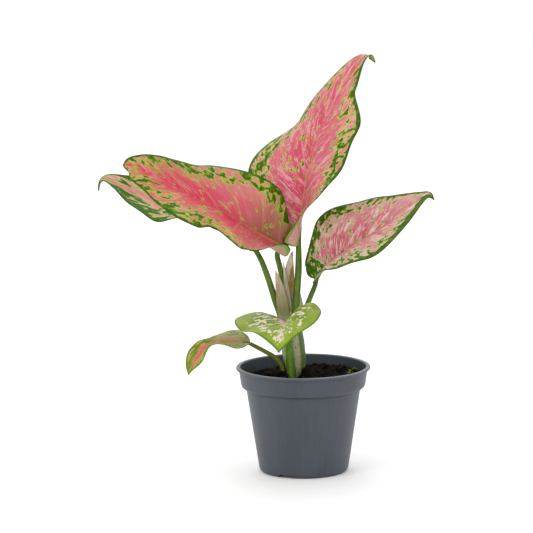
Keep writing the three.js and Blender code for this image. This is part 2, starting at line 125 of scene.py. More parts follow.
def along(values, s):
    """Values at even steps, joined by cubics whose slope at each value is half the difference of its
    neighbours. s runs from 0 to 1."""
    values = np.asarray(values, float)
    padded = np.concatenate([[2 * values[0] - values[1]], values, [2 * values[-1] - values[-2]]])
    place = np.clip(s, 0, 1) * (len(values) - 1)
    i = np.minimum(np.floor(place).astype(int), len(values) - 2)
    f = place - i
    if values.ndim > 1:
        f = f[..., None]
    a, b, c, d = (padded[i + k] for k in range(4))
    return b + 0.5 * f * (c - a + f * (2 * a - 5 * b + 4 * c - d + f * (3 * (b - c) + d - a)))


def run_of(points):
    """The way travelled from the first point to each point of a path."""
    leaps = np.linalg.norm(np.diff(points, axis=0), axis=1)
    return np.concatenate([[0], np.cumsum(leaps)])


class Line:
    """A smooth line through points. at(s) and tangent(s) take s as the share of its length."""

    def __init__(self, points):
        self.points = np.asarray(points, float)
        self.steps = np.linspace(0, 1, LINE_STEPS)
        self.run = run_of(along(self.points, self.steps))
        self.length = self.run[-1]

    def at(self, s):
        step = np.interp(np.clip(s, 0, 1) * self.length, self.run, self.steps)
        return along(self.points, step)

    def tangent(self, s):
        near = self.at(s - TANGENT_STEP * (s > TANGENT_STEP))
        far = self.at(s + TANGENT_STEP * (s < 1 - TANGENT_STEP))
        return unit(far - near)


def smooth(value, low, high):
    """0 below low, 1 above high and 3u^2 - 2u^3 between. With low above high it falls instead."""
    u = np.clip((value - low) / (high - low), 0, 1)
    return u * u * (3 - 2 * u)


print("A quarter of the way up 0, 1, 4, 9 is", round(float(along([0, 1, 4, 9], 0.25)), 3))

# %% Rings, meshes and pieces
NO_TRIANGLES = np.empty((0, 3), int)


def capped(rings, poles):
    """Rings of points joined by quads, with a fan of triangles to a pole at each end. Returns points,
    quads and triangles."""
    rows, sides = rings.shape[:2]
    here = np.arange(sides)
    there = (here + 1) % sides
    start = np.arange(rows - 1)[:, None] * sides
    corners = [start + here, start + there, start + sides + there, start + sides + here]
    last = (rows - 1) * sides
    pole = np.full(sides, rows * sides)
    fans = [np.stack([there, here, pole], -1), np.stack([last + here, last + there, pole + 1], -1)]
    points = np.concatenate([rings.reshape(-1, 3), poles])
    return points, np.stack(corners, -1).reshape(-1, 4), np.concatenate(fans)


def signed_volume(points, quads):
    """The sum of the small volumes between each half quad and the origin: negative if inside out."""
    a, b, c, d = (points[quads[:, k]] for k in range(4))
    first = np.einsum("ij,ij->i", a, np.cross(b, c))
    second = np.einsum("ij,ij->i", a, np.cross(c, d))
    return (first.sum() + second.sum()) / 6


def make_piece(name, points, quads, nodes, slot, triangles=NO_TRIANGLES, uv=None, **values):
    """A mesh of points in millimetres becomes a piece that stands for CAD nodes and rides on the root.
    Every other value is stored at the points under its own name, for the material to read."""
    if signed_volume(points, quads) < 0:
        quads, triangles = quads[:, ::-1], triangles[:, ::-1]
    mesh = bpy.data.meshes.new(name)
    mesh.from_pydata((points * MM).tolist(), [], quads.tolist() + triangles.tolist())
    corners = np.empty(len(mesh.loops), int)
    mesh.loops.foreach_get("vertex_index", corners)
    if uv is not None:
        layer = mesh.uv_layers.new(name="surface")
        layer.data.foreach_set("uv", uv[corners].astype(np.float32).ravel())
    for key, value in values.items():
        layer = mesh.attributes.new(key, "FLOAT", "POINT")
        layer.data.foreach_set("value", value.astype(np.float32))
    mesh.polygons.foreach_set("use_smooth", np.ones(len(mesh.polygons), bool))
    mesh.update()
    piece = add_object(name, mesh)
    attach(piece, "root")
    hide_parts(*nodes)
    return piece


def dress(piece, material):
    """Gives a finished piece its material and says what was made."""
    piece.data.materials.append(material)
    print(piece.name, "has", len(piece.data.polygons), "faces")


print("Two rings of four give", len(capped(np.zeros((2, 4, 3)), np.zeros((2, 3)))[1]), "quads")

# %% [markdown]
# ## Tools for materials
#
# A material is a tree of nodes. These short helpers add a node, set its numbers and join its inputs,
# so that a finish reads as a few lines of what depends on what.


# %% Node helpers
def colour(code):
    """A colour written as in a paint program, turned into the linear values that a shader uses."""
    parts = np.array([int(code[k : k + 2], 16) for k in (1, 3, 5)]) / 255
    linear = np.where(parts <= 0.04045, parts / 12.92, ((parts + 0.055) / 1.055) ** 2.4)
    return (*linear.tolist(), 1.0)


def feed(socket, value):
    """Joins another node's output to a socket, or sets the socket's own number."""
    if isinstance(value, bpy.types.NodeSocket):
        socket.id_data.links.new(value, socket)
    else:
        socket.default_value = value


def add_node(kind, inputs, **settings):
    """A node in the tree that its inputs come from: the inputs are numbers or other nodes' outputs, by
    socket. Returns the node's outputs."""
    joined = next(value for value in inputs.values() if isinstance(value, bpy.types.NodeSocket))
    made = joined.id_data.nodes.new(kind)
    for key, value in settings.items():
        setattr(made, key, value)
    for socket, value in inputs.items():
        feed(made.inputs[socket], value)
    return made.outputs


def calc(operation, *values, clamp=False):
    inputs = dict(enumerate(values))
    return add_node("ShaderNodeMath", inputs, operation=operation, use_clamp=clamp)[0]


def times(first, second, clamp=False):
    return calc("MULTIPLY", first, second, clamp=clamp)


def sway(value, pattern, amount, clamp=False):
    """A pattern of 0 to 1 moves the value up and down: value + amount (pattern - 0.5)."""
    return calc("MULTIPLY_ADD", calc("SUBTRACT", pattern, 0.5), amount, value, clamp=clamp)


def spread(value, low, high, to_low=0.0, to_high=1.0, kind="SMOOTHSTEP"):
    """The value's range low to high becomes to_low to to_high."""
    titles = ("Value", "From Min", "From Max", "To Min", "To Max")
    inputs = dict(zip(titles, (value, low, high, to_low, to_high)))
    return add_node("ShaderNodeMapRange", inputs, interpolation_type=kind)[0]


def blend(share, first, second):
    """The first colour where the share is 0 and the second where it is 1."""
    return add_node("ShaderNodeMix", {0: share, 6: first, 7: second}, data_type="RGBA")[2]


def stained(base, *stains):
    """Colours laid over the base one after the other, each by a share of its own."""
    for share, code in stains:
        base = blend(share, base, colour(code))
    return base


def noise(vector, scale, detail=2.0, roughness=0.5, seed=None):
    """Noise of 0 to 1. Three scales stretch it: the smaller the number, the longer the marks."""
    if isinstance(scale, tuple):
        vector = add_node("ShaderNodeVectorMath", {0: vector, 1: scale}, operation="MULTIPLY")[0]
        scale = 1.0
    inputs = dict(Vector=vector, Scale=scale, Detail=detail, Roughness=roughness)
    if seed is None:
        return add_node("ShaderNodeTexNoise", inputs)[0]
    return add_node("ShaderNodeTexNoise", dict(inputs, W=seed), noise_dimensions="4D")[0]


def attribute(tree, name):
    made = tree.nodes.new("ShaderNodeAttribute")
    made.attribute_name = name
    return made.outputs["Fac"]


def surface_uv(tree):
    made = tree.nodes.new("ShaderNodeUVMap")
    made.uv_map = "surface"
    return made.outputs[0]


def object_place(tree):
    return tree.nodes.new("ShaderNodeTexCoord").outputs["Object"]


def split(vector):
    """The vector's three numbers, each as an output of its own."""
    return add_node("ShaderNodeSeparateXYZ", {0: vector})


def new_material(name, roughness=0.5, specular=0.5):
    """A material with one Principled shader, returned with its tree and shader."""
    material = bpy.data.materials.new(name)
    material.use_nodes = True
    shader = material.node_tree.nodes["Principled BSDF"]
    shader.inputs["Roughness"].default_value = roughness
    shader.inputs["Specular IOR Level"].default_value = specular
    return material, material.node_tree, shader


def finish(shader, base, rough, height, strength, depth):
    """Joins the base colour, the roughness and a bump of the given depth in metres to the shader."""
    bump = add_node("ShaderNodeBump", dict(Strength=strength, Distance=depth, Height=height))[0]
    for title, value in (("Base Color", base), ("Roughness", rough), ("Normal", bump)):
        feed(shader.inputs[title], value)


print("Pure white is", colour("#ffffff"), "and a leaf green is", colour("#4a7a22"))

# %% [markdown]
# ## Leaf markings
#
# The blades are pink where the leaf has lost its green. Green is left along the margin and in flecks
# that follow the side veins, each with a cream halo, and the pink is deepest beside the midrib. A
# painted picture would be the quick way, but a pattern that runs in the leaf's own coordinates, out
# along each vein, gives every blade its own flecks and keeps them sharp at any distance. One node
# group does it, and each blade sets its own shares and colours.

# %% The markings group
SHARES = ("Green", "Band", "Blush", "Dusk", "Line", "Young", "Pale")
TINTS = ("Deep pink", "Light pink", "Pale tint", "Cream", "Dark green", "Light green", "Dusk tint")
# How fine each pattern is across the side veins and along them.
FLECK_SCALE = (215, 165, 0)
FINE_SCALE = (850, 520, 0)
CLUMP_SCALE = (75, 50, 0)
STREAK_SCALE = (700, 46, 0)
THREAD_SCALE = (1500, 180, 0)
CLOUD_SCALE = (55, 28, 0)
WASH_SCALE = (120, 50, 0)
TONE_SCALE = (330, 140, 0)
TONE_SEED = 11.0


def new_markings():
    """An empty group with named sockets: the place on the vein, shares of 0 to 1, a seed and tints."""
    group = bpy.data.node_groups.new("leaf_markings", "ShaderNodeTree")
    inputs = [("Vein", "Vector"), *((share, "Float") for share in SHARES), ("Seed", "Float")]
    for title, kind in inputs + [(tint, "Color") for tint in TINTS]:
        group.interface.new_socket(title, in_out="INPUT", socket_type="NodeSocket" + kind)
    for title, kind in (("Colour", "Color"), ("Green share", "Float"), ("Height", "Float")):
        group.interface.new_socket(title, in_out="OUTPUT", socket_type="NodeSocket" + kind)
    return group


def pink_ground(given, streak, thread, cloud):
    """Light pink to deep pink by the blush, with pale streaks and washes, and dusk near the base."""
    depth = sway(sway(given["Blush"], cloud, 1.3), streak, 1.8)
    depth = sway(depth, thread, 1.5, clamp=True)
    pink = blend(depth, given["Light pink"], given["Deep pink"])
    pale = sway(sway(streak, thread, 0.7), cloud, 0.5)
    pale = times(spread(pale, 0.53, 0.68), given["Pale"], clamp=True)
    wash = noise(given["Vein"], WASH_SCALE, 3, 0.65, given["Seed"])
    wash = times(spread(wash, 0.5, 0.66, 0.0, 0.75), given["Pale"], clamp=True)
    pink = blend(calc("MAXIMUM", pale, wash), pink, given["Pale tint"])
    dusk = times(given["Dusk"], spread(streak, 0.34, 0.62, 1.0, 0.5))
    return blend(dusk, pink, given["Dusk tint"])


def leafy_green(given, level, cloud):
    """Light green at a fleck's edge, dark green inside it, and light again where the leaf is young."""
    green = blend(spread(level, 0.0, 0.15), given["Light green"], given["Dark green"])
    tone = noise(given["Vein"], TONE_SCALE, 2, 0.6, TONE_SEED)
    green = blend(spread(tone, 0.5, 0.64, 0, 0.6), green, given["Light green"])
    young = sway(given["Young"], cloud, 1.2)
    young = times(young, spread(given["Young"], 0.0, 0.2), clamp=True)
    return blend(young, green, given["Light green"])


def fill_markings(tree):
    """Green where fleck noise plus the share of green passes one, and a cream halo just below that."""
    given = tree.nodes.new("NodeGroupInput").outputs
    out = tree.nodes.new("NodeGroupOutput").inputs
    vein, seed = given["Vein"], given["Seed"]
    fine = noise(vein, FINE_SCALE, 1, 0.5, seed)
    clump = noise(vein, CLUMP_SCALE, 1, 0.5, seed)
    streak = noise(vein, STREAK_SCALE, 3, 0.6, seed)
    thread = noise(vein, THREAD_SCALE, 2, 0.6, seed)
    cloud = noise(vein, CLOUD_SCALE, 2, 0.55, seed)
    fleck = spread(noise(vein, FLECK_SCALE, 2, 0.5, seed), 0.27, 0.73, kind="LINEAR")
    fleck = sway(sway(fleck, fine, 0.16), clump, 0.8)
    level = calc("SUBTRACT", calc("ADD", fleck, given["Green"]), 1.0)
    green = spread(level, -0.02, 0.05)
    halo = spread(level, -0.19, -0.05)
    ground = pink_ground(given, streak, thread, cloud)
    tint = times(sway(0.55, clump, 1.6, clamp=True), given["Band"])
    for share in (tint, times(halo, 0.85), given["Line"]):
        ground = blend(share, ground, given["Cream"])
    feed(out["Colour"], blend(green, ground, leafy_green(given, level, cloud)))
    feed(out["Green share"], green)
    feed(out["Height"], calc("MULTIPLY_ADD", streak, 0.6, fine))


markings = new_markings()
fill_markings(markings)
print("Markings group has", len(markings.nodes), "nodes")

# %% The blades' materials
BLADE_FINISH = {
    "upright": dict(
        seed=3.1, deep="#c23a58", light="#cb6a7e", pale="#e8bcc4", cream="#bab468",
        dark_green="#3c5c06", light_green="#789c1c", below_tint="#d3ab9c",
    ),
    "front": dict(
        seed=7.7, deep="#cc3452", light="#cc767e", pale="#d9a29c", cream="#adb258",
        dark_green="#3e6006", light_green="#7ea420", dusk="#946844", below_tint="#b9ae8c",
    ),
    "back": dict(
        seed=12.3, deep="#c94e6a", light="#d07e8c", pale="#dfb6ae", cream="#b6ba74",
        dark_green="#36580e", light_green="#64902a", below_tint="#7c8c4c", specular=0.02,
    ),
    "right": dict(
        seed=5.9, deep="#b4364f", light="#d0929a", pale="#e6d8ce", cream="#bcbe8c",
        dark_green="#3c5e06", light_green="#729a1e", below_tint="#a49a74",
    ),
    "low": dict(
        seed=9.4, deep="#dc9aa0", light="#e6dccf", pale="#eeeadd", cream="#dadcae",
        dark_green="#487016", light_green="#8ea234", below_tint="#7f9c3c",
    ),
    "small": dict(
        seed=15.2, deep="#d63a66", light="#c88a80", pale="#cfae98", cream="#a3a650",
        dark_green="#6a7e22", light_green="#86983a", dusk="#8a7c34", below_tint="#8a8a4c",
    ),
}


def leaf_material(name, seed, deep, light, pale, cream, dark_green, light_green, below_tint,
                  dusk="#a8785a", specular=0.1):
    """The upper face has the markings. The underside is paler and green near its edge, and the midrib
    is a pale line."""
    material, tree, shader = new_material(name, 0.42, specular)
    group = tree.nodes.new("ShaderNodeGroup")
    group.node_tree = markings
    feed(group.inputs["Vein"], surface_uv(tree))
    feed(group.inputs["Seed"], seed)
    for share in SHARES:
        feed(group.inputs[share], attribute(tree, share.lower()))
    for tint, code in zip(TINTS, (deep, light, pale, cream, dark_green, light_green, dusk)):
        feed(group.inputs[tint], colour(code))
    marks = group.outputs
    rib, rim = attribute(tree, "rib"), attribute(tree, "rim")
    face = stained(marks["Colour"], (rib, cream), (times(rim, 0.85), dark_green))
    below = blend(0.35, colour(below_tint), marks["Colour"])
    near_rim, on_rim = spread(rim, 0.0, 0.6, 0.0, 0.65), spread(rim, 0.6, 1.0)
    below = stained(below, (rib, light_green), (near_rim, light_green), (on_rim, dark_green))
    whole = blend(attribute(tree, "underside"), face, below)
    gloss = spread(marks["Green share"], 0, 1, 0.46, 0.38, "LINEAR")
    finish(shader, whole, gloss, marks["Height"], 0.2, 0.0005)
    return material


BLADE_MATERIALS = {name: leaf_material("leaf_" + name, **look) for name, look in BLADE_FINISH.items()}
print("Blade materials:", ", ".join(BLADE_MATERIALS))

# %% [markdown]
# ## The leaf blades
#
# A blade is flat when it unrolls, and then it bends: each half swings up or down from the midrib, the
# margin ripples, and two round lobes stand back beside the stalk. It could be sculpted, or a flat leaf
# could be bent with modifiers. Here it is one function of two numbers, the same as the CAD source
# uses, so the fine blade lies on the plain one, and only the upright and the small leaf have a finer
# margin of their own. The first number runs round the margin from the base to the tip, the second
# goes out along a side vein. Where two lists stand together, they are the left and the right half.

# %% The leaves' numbers
# Points of each margin: how far along the midrib, and the share of the half width there.
BLADE_MARGIN = np.array([[-0.012, 0.05], [-0.055, 0.26], [-0.06, 0.52], [0.01, 0.8], [0.14, 0.96],
                         [0.3, 1], [0.48, 0.92], [0.64, 0.74], [0.78, 0.5], [0.88, 0.28],
                         [0.945, 0.12], [1, 0.006]])
SHEATH_MARGIN = np.array([[0, 1], [0.4, 0.98], [0.72, 0.82], [0.91, 0.5], [1, 0.06]])
ALL_LEAVES = dict(dusk=[[0, 0]] * 2, young=[[0, 0]] * 2, core=[0, 0], base=0, grain=1)
# Shape: midrib points and half widths in millimetres, heading from above in degrees, lifts (how far
# each half is turned up) and curl (how much more beside the midrib) in degrees, waves (swing, count
# and start of the margin's ripple), lobe (how far the base stands back) and ridge (the midrib's size).
# Marks: green and how far in it reaches, rim (width of the solid edge), band (cream behind it), fleck
# (green elsewhere), base and core (green added by the stalk, and taken from the middle), blush (deep
# pink), pale (streaks), dusk (brown by the stalk), young (light green) and grain (how fine all is).
LEAVES = {
    "upright": dict(
        midrib=[[-3.1, -1, 206], [-2.4, 1.5, 215.5], [-1, 5, 231], [2.5, 8.5, 253], [10, 16, 289],
                [21, 24, 315], [32, 31, 335], [43, 37, 351], [55, 42, 365], [62, 44, 368],
                [67, 43, 362]],
        widths=[[26, 48, 58, 61, 52, 39, 42, 58],
                [20, 17.5, 17, 26, 36, 43, 47, 48.3, 49, 51, 54, 57.5, 58, 53, 44, 34, 34.5, 33, 29,
                 28, 32]],
        lifts=[[24, 20, 8, -12, -26, -18, -15, -15], [144, 72, 36, 26, 18, 11, 6, 2, 0, 0, 0]],
        waves=[[3, 3, 0.2], [4, 3, 0.6]],
        curl=[[12, 12], [-90, -30, 12, 12, 12, 12, 12, 12, 12]],
        green=[[0.66, 0.68, 0.6, 0.5, 0.42, 0.42], [0.36, 0.42, 0.46, 0.48, 0.46, 0.4]],
        reach=[[0.6, 0.85, 0.7, 0.5, 0.4, 0.4], [0.3, 0.4, 0.5, 0.65, 0.7, 0.7]],
        rim=[[0.3, 0.3, 0.3, 0.3, 0.3, 0.4], [1.2, 2.0, 1.6, 1.2, 1.2, 1.2]],
        band=[[0.3, 0.2], [0.15, 0.2]],
        blush=[[0.55, 0.55, 0.75, 0.9, 0.85, 0.75], [0.65, 0.7, 0.75, 0.75, 0.75, 0.65]],
        pale=[0.8, 1, 0.8, 0.6, 0.6, 0.8],
        heading=55, lobe=[0.2, 0.3], ridge=2.4, fleck=0.17,
    ),
    "front": dict(
        midrib=[[-19, -5, 204.8], [-26, -9.5, 210], [-44, -20, 221.5], [-66, -33, 237.5],
                [-84, -43, 249], [-107, -52, 263], [-131, -61, 278], [-148, -65, 287],
                [-156, -66, 287]],
        widths=[[22, 28, 33, 46, 62, 42, 66, 82, 79, 86, 200],
                [20, 44, 46, 46, 48, 50, 46, 45, 47, 62, 105]],
        lifts=[[28, 0, -23, -27, -28, -28, -30, -36, -46, -60, -70],
               [84, 84, 84, 72, 58, 48, 44, 50, 60, 70, 80]],
        waves=[[4, 3, 0.1], [3, 3, 0.4]],
        curl=[[-135, -10, 14, 14, 14, 14], [10, 10]],
        green=[[0.5, 0.45, 0.35, 0.44, 0.5, 0.5], [0.5, 0.54, 0.56, 0.54, 0.52, 0.5]],
        reach=[[0.3, 0.25, 0.15, 0.5, 0.7, 0.8], [0.4, 0.6, 0.6, 0.5, 0.6, 0.8]],
        rim=[[0.3, 0.5, 0.6, 0.6, 0.5, 0.4], [0.3, 0.3, 0.4, 0.4, 0.4, 0.4]],
        band=[[0.2, 0.1, 0.2, 0.4, 0.5, 0.7], [0.4, 0.4, 0.4, 0.4, 0.5, 0.7]],
        blush=[[0.3, 0.45, 0.6, 1.0, 1.7, 1.1], [0.2, 0.25, 0.3, 0.6, 1.3, 0.8]],
        dusk=[[0.1, 0.1], [0.95, 0.95]],
        pale=[0.6, 0.6, 0.4, 0.2, 0.4, 0.9],
        heading=204, lobe=[0.4, 0.2], ridge=2.4, fleck=0.1,
    ),
    "back": dict(
        midrib=[[-45, 8, 203], [-73, 18, 218], [-109, 32, 232], [-145, 44, 242], [-163, 50, 251],
                [-175, 54, 256], [-181, 55, 254], [-183, 55, 246]],
        widths=[[28, 34, 45, 46, 39, 34], [36, 42, 42, 42, 42, 40]],
        lifts=[[12, 14, 0, -10, -4, -4], [40, 35, 25, 26, 26, 30]],
        waves=[[5, 3.2, 0.2], [3, 3, 0]],
        curl=[[8, 8]] * 2,
        green=[[0.62, 0.64, 0.65, 0.62, 0.58, 0.54], [0.5, 0.5, 0.52, 0.52, 0.5, 0.5]],
        reach=[[0.8, 0.9, 1.0, 1.1, 0.9, 0.9], [0.8, 0.8, 0.8, 0.8, 0.9, 0.9]],
        rim=[[1.4, 1.6, 2.0, 1.6, 1.0, 0.8], [0.6, 0.6, 0.6, 0.8, 0.8, 0.6]],
        band=[[0.4, 0.6], [0.5, 0.8]],
        blush=[[0.45, 0.6, 0.6, 0.45]] * 2,
        pale=[0.6, 0.6, 0.6, 0.6, 0.7, 0.8],
        heading=161, lobe=[1, 1], ridge=2.2, fleck=0.16, grain=0.85,
    ),
    "right": dict(
        midrib=[[12.5, -2, 174], [17, -4, 181], [27, -8, 191], [40, -14, 203], [58, -22, 216],
                [80, -32, 232], [102, -39, 250], [111, -41, 255], [116, -41, 250]],
        widths=[[20, 39, 40, 39, 34, 20], [12, 33, 47, 47, 47, 42]],
        lifts=[[68, 75, 62, 52, 54, 58], [-8, -10, -22, -32, -38, -40]],
        waves=[[3, 3, 0.3], [3, 3, 0]],
        curl=[[10, 10], [12, 12]],
        green=[[0.6, 0.56, 0.56, 0.5, 0.46, 0.46], [0.6, 0.58, 0.54, 0.5, 0.5, 0.48]],
        reach=[[0.6, 0.6, 0.6, 0.4, 0.3, 0.4], [0.5, 0.6, 0.65, 0.6, 0.6, 0.6]],
        rim=[[4.0, 4.0, 1.2, 0.5, 0.6, 0.8], [3.0, 2.4, 1.4, 2.2, 3.0, 2.6]],
        band=[[0.3, 0.3]] * 2,
        blush=[[0.0, 0.1, 0.7, 0.85, 0.6, 0.4]] * 2,
        pale=[1.2, 1.2, 1.0, 0.9, 1.0, 1.0],
        heading=-21, lobe=[0.4, 0.4], ridge=2.2, fleck=0.2, base=0.5, grain=1.1,
    ),
    "low": dict(
        midrib=[[-13.3, -17, 137], [-15, -38, 141], [-17, -62, 140], [-20, -80, 134],
                [-22, -89, 124]],
        widths=[[25, 30, 35, 39, 40, 36], [34, 44, 46, 46, 46, 36]],
        lifts=[[38, 36, 22, 8, 4, 0], [16, 10, -4, -5, -1, -2]],
        waves=[[4, 2, 0.1], [5, 2, 0.4]],
        curl=[[34, 34], [16, 16]],
        green=[[1.1, 1.1]] * 2,
        reach=[[2.0, 2.0]] * 2,
        rim=[[0.8, 0.8]] * 2,
        band=[[0, 0]] * 2,
        blush=[[0.6, 0.8, 0.6, 0.3]] * 2,
        # Young is light green toward the tip and margin. By the stalk it starts lower on the right half,
        # so that half's back lobe stays darker green: painted shade.
        young=[[0.4, 0.6, 0.9, 0.9, 0.9, 0.9], [0.0, 0.3, 0.9, 0.9, 0.9, 0.9]],
        heading=-97, lobe=[1.4, 1.4], ridge=2, fleck=0, pale=[0.8, 0.8, 0.8, 0.8],
        core=[0.42, 0.48], grain=1.5,
    ),
    "small": dict(
        midrib=[[-47, -16, 119], [-56, -22, 121], [-69, -30, 124], [-82, -38, 123], [-92, -44, 115],
                [-99, -46, 105], [-102, -45, 96]],
        widths=[[3, 9, 13, 13.5, 6.5, 5, 7, 10.5, 14, 16, 18],
                [31, 28, 23, 19, 14, 10, 14, 15.5, 18.5, 20, 20]],
        lifts=[[8, -14, -25, 0, -50, -62], [20, 10, 12, 24, 55, 62]],
        waves=[[2, 3, 0.2], [2, 3, 0.7]],
        curl=[[0, 0], [8, 8]],
        green=[[0.6, 0.6, 0.56, 0.6, 0.62, 0.8], [0.62, 0.62, 0.56, 0.6, 0.62, 0.8]],
        reach=[[0.9, 0.9, 0.8, 0.9, 0.9, 1.2], [1.0, 1.0, 0.8, 0.9, 0.9, 1.2]],
        rim=[[0.3, 0.3, 0.4, 0.5, 0.5, 0.7], [0.2, 0.3, 0.4, 0.5, 0.5, 0.7]],
        band=[[0.8, 0.5]] * 2,
        blush=[[0.1, 0.2, 0.2, 0.7, 1.5, 1.2]] * 2,
        dusk=[[0.9, 0.8]] * 2,
        pale=[0.9, 0.7, 0.5, 0.4, 0.6, 0.6],
        heading=208, lobe=[0.7, 0.7], ridge=1.6, fleck=0.16, base=0.15, grain=1.3,
    ),
}
print("Leaves:", ", ".join(LEAVES))


# %% The bent surface
def bent_surface(leaf, x, y, side):
    """The midrib's point at x, plus the half width times y, turned up by the lift angle from the level
    line square to the heading. The ripple grows with y squared."""
    line = Line(leaf["midrib"])
    s = np.clip(x, 0, 1)
    tangent = line.tangent(s)
    square = math.radians(leaf["heading"] - 90)
    level = np.array([math.cos(square), math.sin(square), 0])
    across = unit(level - tangent * (tangent @ level)[..., None])
    up = np.cross(across, tangent)

    def pick(pair):
        return np.where(side > 0, pair[1], pair[0])

    def half(key):
        return pick([along(values, s) for values in leaf[key]])

    back = (x - s) * line.length * pick(leaf["lobe"])
    point = line.at(s) + tangent * back[..., None]
    swing, count, start = (pick([wave[k] for wave in leaf["waves"]]) for k in range(3))
    ripple = swing * np.sin(2 * math.pi * (count * s + start)) * y**2
    angle = np.radians(half("lifts") + half("curl") * (1 - y) + ripple)
    reach = half("widths") * y
    point = point + across * (reach * np.cos(angle) * side)[..., None]
    return point + up * (reach * np.sin(angle))[..., None], up, reach


def blade_vein(t):
    """Where on the midrib the vein that ends at margin place t begins. The first ones fan from the
    base: 0.02 t + 0.98 ((t - 0.3) / 0.7)^1.35."""
    return 0.02 * t + 0.98 * np.maximum(0, (t - 0.3) / 0.7) ** 1.35


def sheet_points(leaf, margin, vein, rows, half_columns):
    """The middle surface of a thin sheet on a grid of rows and columns, with its unit normals. The
    columns stand closer together beside the midrib: v = u (0.72 + 0.28 u^2)."""
    t = np.linspace(0, 1, rows)[:, None]
    u = np.linspace(-1, 1, 2 * half_columns + 1)[None, :]
    v = u * (0.72 + 0.28 * u**2)
    side = np.where(v < 0, -1.0, 1.0)
    root = vein(t)
    x = root + (along(margin[:, 0], t) - root) * np.abs(v)
    y = along(margin[:, 1], t) * np.abs(v)
    points, up, reach = bent_surface(leaf, x, y, side * np.ones_like(x))
    normal = unit(np.cross(np.gradient(points, axis=0), np.gradient(points, axis=1)))
    normal *= np.sign(np.sum(normal * up, axis=-1, keepdims=True).mean() or 1)
    return points, normal, t + 0 * x, v + 0 * x, reach


def both_faces(front, back=None):
    """The front grid's values, then those of the back grid's inner points."""
    inner = (front if back is None else back)[1:-1, 1:-1]
    return np.concatenate([grid.reshape(-1, *grid.shape[2:]) for grid in (front, inner)])


def join(index):
    """Quads between neighbours in a grid of point numbers."""
    corners = [index[:-1, :-1], index[:-1, 1:], index[1:, 1:], index[1:, :-1]]
    return np.stack(corners, -1).reshape(-1, 4)


def closed_sheet(front, back):
    """Two grids with a common border become one closed skin, the back one turned over."""
    rows, columns = front.shape[:2]
    index = np.arange(rows * columns).reshape(rows, columns)
    rear = index.copy()
    inner = (rows - 2) * (columns - 2)
    rear[1:-1, 1:-1] = rows * columns + np.arange(inner).reshape(rows - 2, columns - 2)
    return both_faces(front, back), np.concatenate([join(index), join(rear)[:, ::-1]])


print("The vein that ends halfway starts at", round(float(blade_vein(0.5)), 3), "of the midrib")

# %% Blades
BLADE_ROWS = 170
BLADE_HALF_COLUMNS = 34
BLADE_HALF_THICKNESS = 0.3
SIDE_VEINS = 9
VEIN_DEPTH = 0.22
VEIN_STRETCH = 1.25
SOLID_GREEN = 1.3
# Where an effect has ended and where it is full: millimetres from the stalk or from the margin, and
# shares of the way to the tip.
STALK_GREEN, STALK_DUSK, STALK_FRINGE = (24, 12), (62, 20), (8, 4)
THIN_RIM, UNDERSIDE_FRINGE = (1.3, 0.5), (3.2, 1.6)
TIP_GREEN, TIP_FRINGE, TIP_YOUNG = (0.9, 0.97), (0.92, 0.96), (0.4, 0.8)


def vein_uv(points, run, v):
    """Distances on the bent blade, in millimetres: forward, square to the side veins and stretched a
    little, and out along them. So a mark keeps its size wherever it lies."""
    middle = BLADE_HALF_COLUMNS
    out = np.abs(run - run[:, middle : middle + 1])
    leaps = np.cross(np.diff(points, axis=0), unit(np.gradient(points, axis=1))[:-1])
    apart = np.linalg.norm(leaps, axis=-1)[:, [middle // 2, middle + middle // 2]]
    forward = np.concatenate([[0], np.cumsum(apart.mean(axis=1))])[:, None]
    return np.stack([VEIN_STRETCH * forward + 0 * v, np.sign(v) * out], -1)


def blade_marks(leaf, points, t, v, reach, run):
    """The shares that the material reads, a number for every point: where green begins and ends, the
    bands of cream, how deep the pink is, and the rim, which is wider on the underside."""

    def half(key):
        return np.where(v > 0, along(leaf[key][1], t), along(leaf[key][0], t))

    away = np.abs(v)
    edge, rim_width = half("reach"), half("rim")
    full = np.where(v > 0, reach[:, -1:], reach[:, :1])
    from_edge = np.maximum(full - reach, 0.5 * np.where(v > 0, run[:, -1:] - run, run))
    from_base = np.linalg.norm(points - points[0, BLADE_HALF_COLUMNS], axis=-1)
    solid = SOLID_GREEN * smooth(from_edge, 1.9 * rim_width + 0.3, 0.5 * rim_width)
    near_edge = smooth(away, 1 - edge, 1 - 0.3 * edge)
    green = np.maximum(half("green") * near_edge, leaf["fleck"] + 0.35 * solid) + solid
    green = green + leaf["base"] * smooth(from_base, *STALK_GREEN) + 0.15 * smooth(t, *TIP_GREEN)
    core = np.array(leaf["core"])[(v > 0).astype(int)]
    thin_rim = smooth(from_edge, *THIN_RIM)
    fringe = np.maximum(smooth(from_edge, *UNDERSIDE_FRINGE), smooth(t, *TIP_FRINGE))
    fringe = np.maximum(fringe, smooth(from_base, *STALK_FRINGE))
    young = np.maximum(smooth(away, 0.4, 0.9), smooth(t, *TIP_YOUNG))
    return dict(
        green=both_faces(green - core * smooth(away, 1.0, 0.6) * smooth(t, 0.02, 0.12)),
        band=both_faces(half("band") * smooth(away, 1 - 1.2 * edge, 1 - 0.4 * edge)),
        blush=both_faces(half("blush") * (1 - 0.6 * away) + 0.2 * (1 - away)),
        dusk=both_faces(half("dusk") * smooth(from_base, *STALK_DUSK) * smooth(away, 1.15, 0.5)),
        young=both_faces(half("young") * young),
        pale=both_faces(along(leaf["pale"], t)),
        rim=both_faces(thin_rim, np.maximum(thin_rim, 0.6 * fringe)),
        underside=both_faces(0 * t, 0 * t + 1),
    )


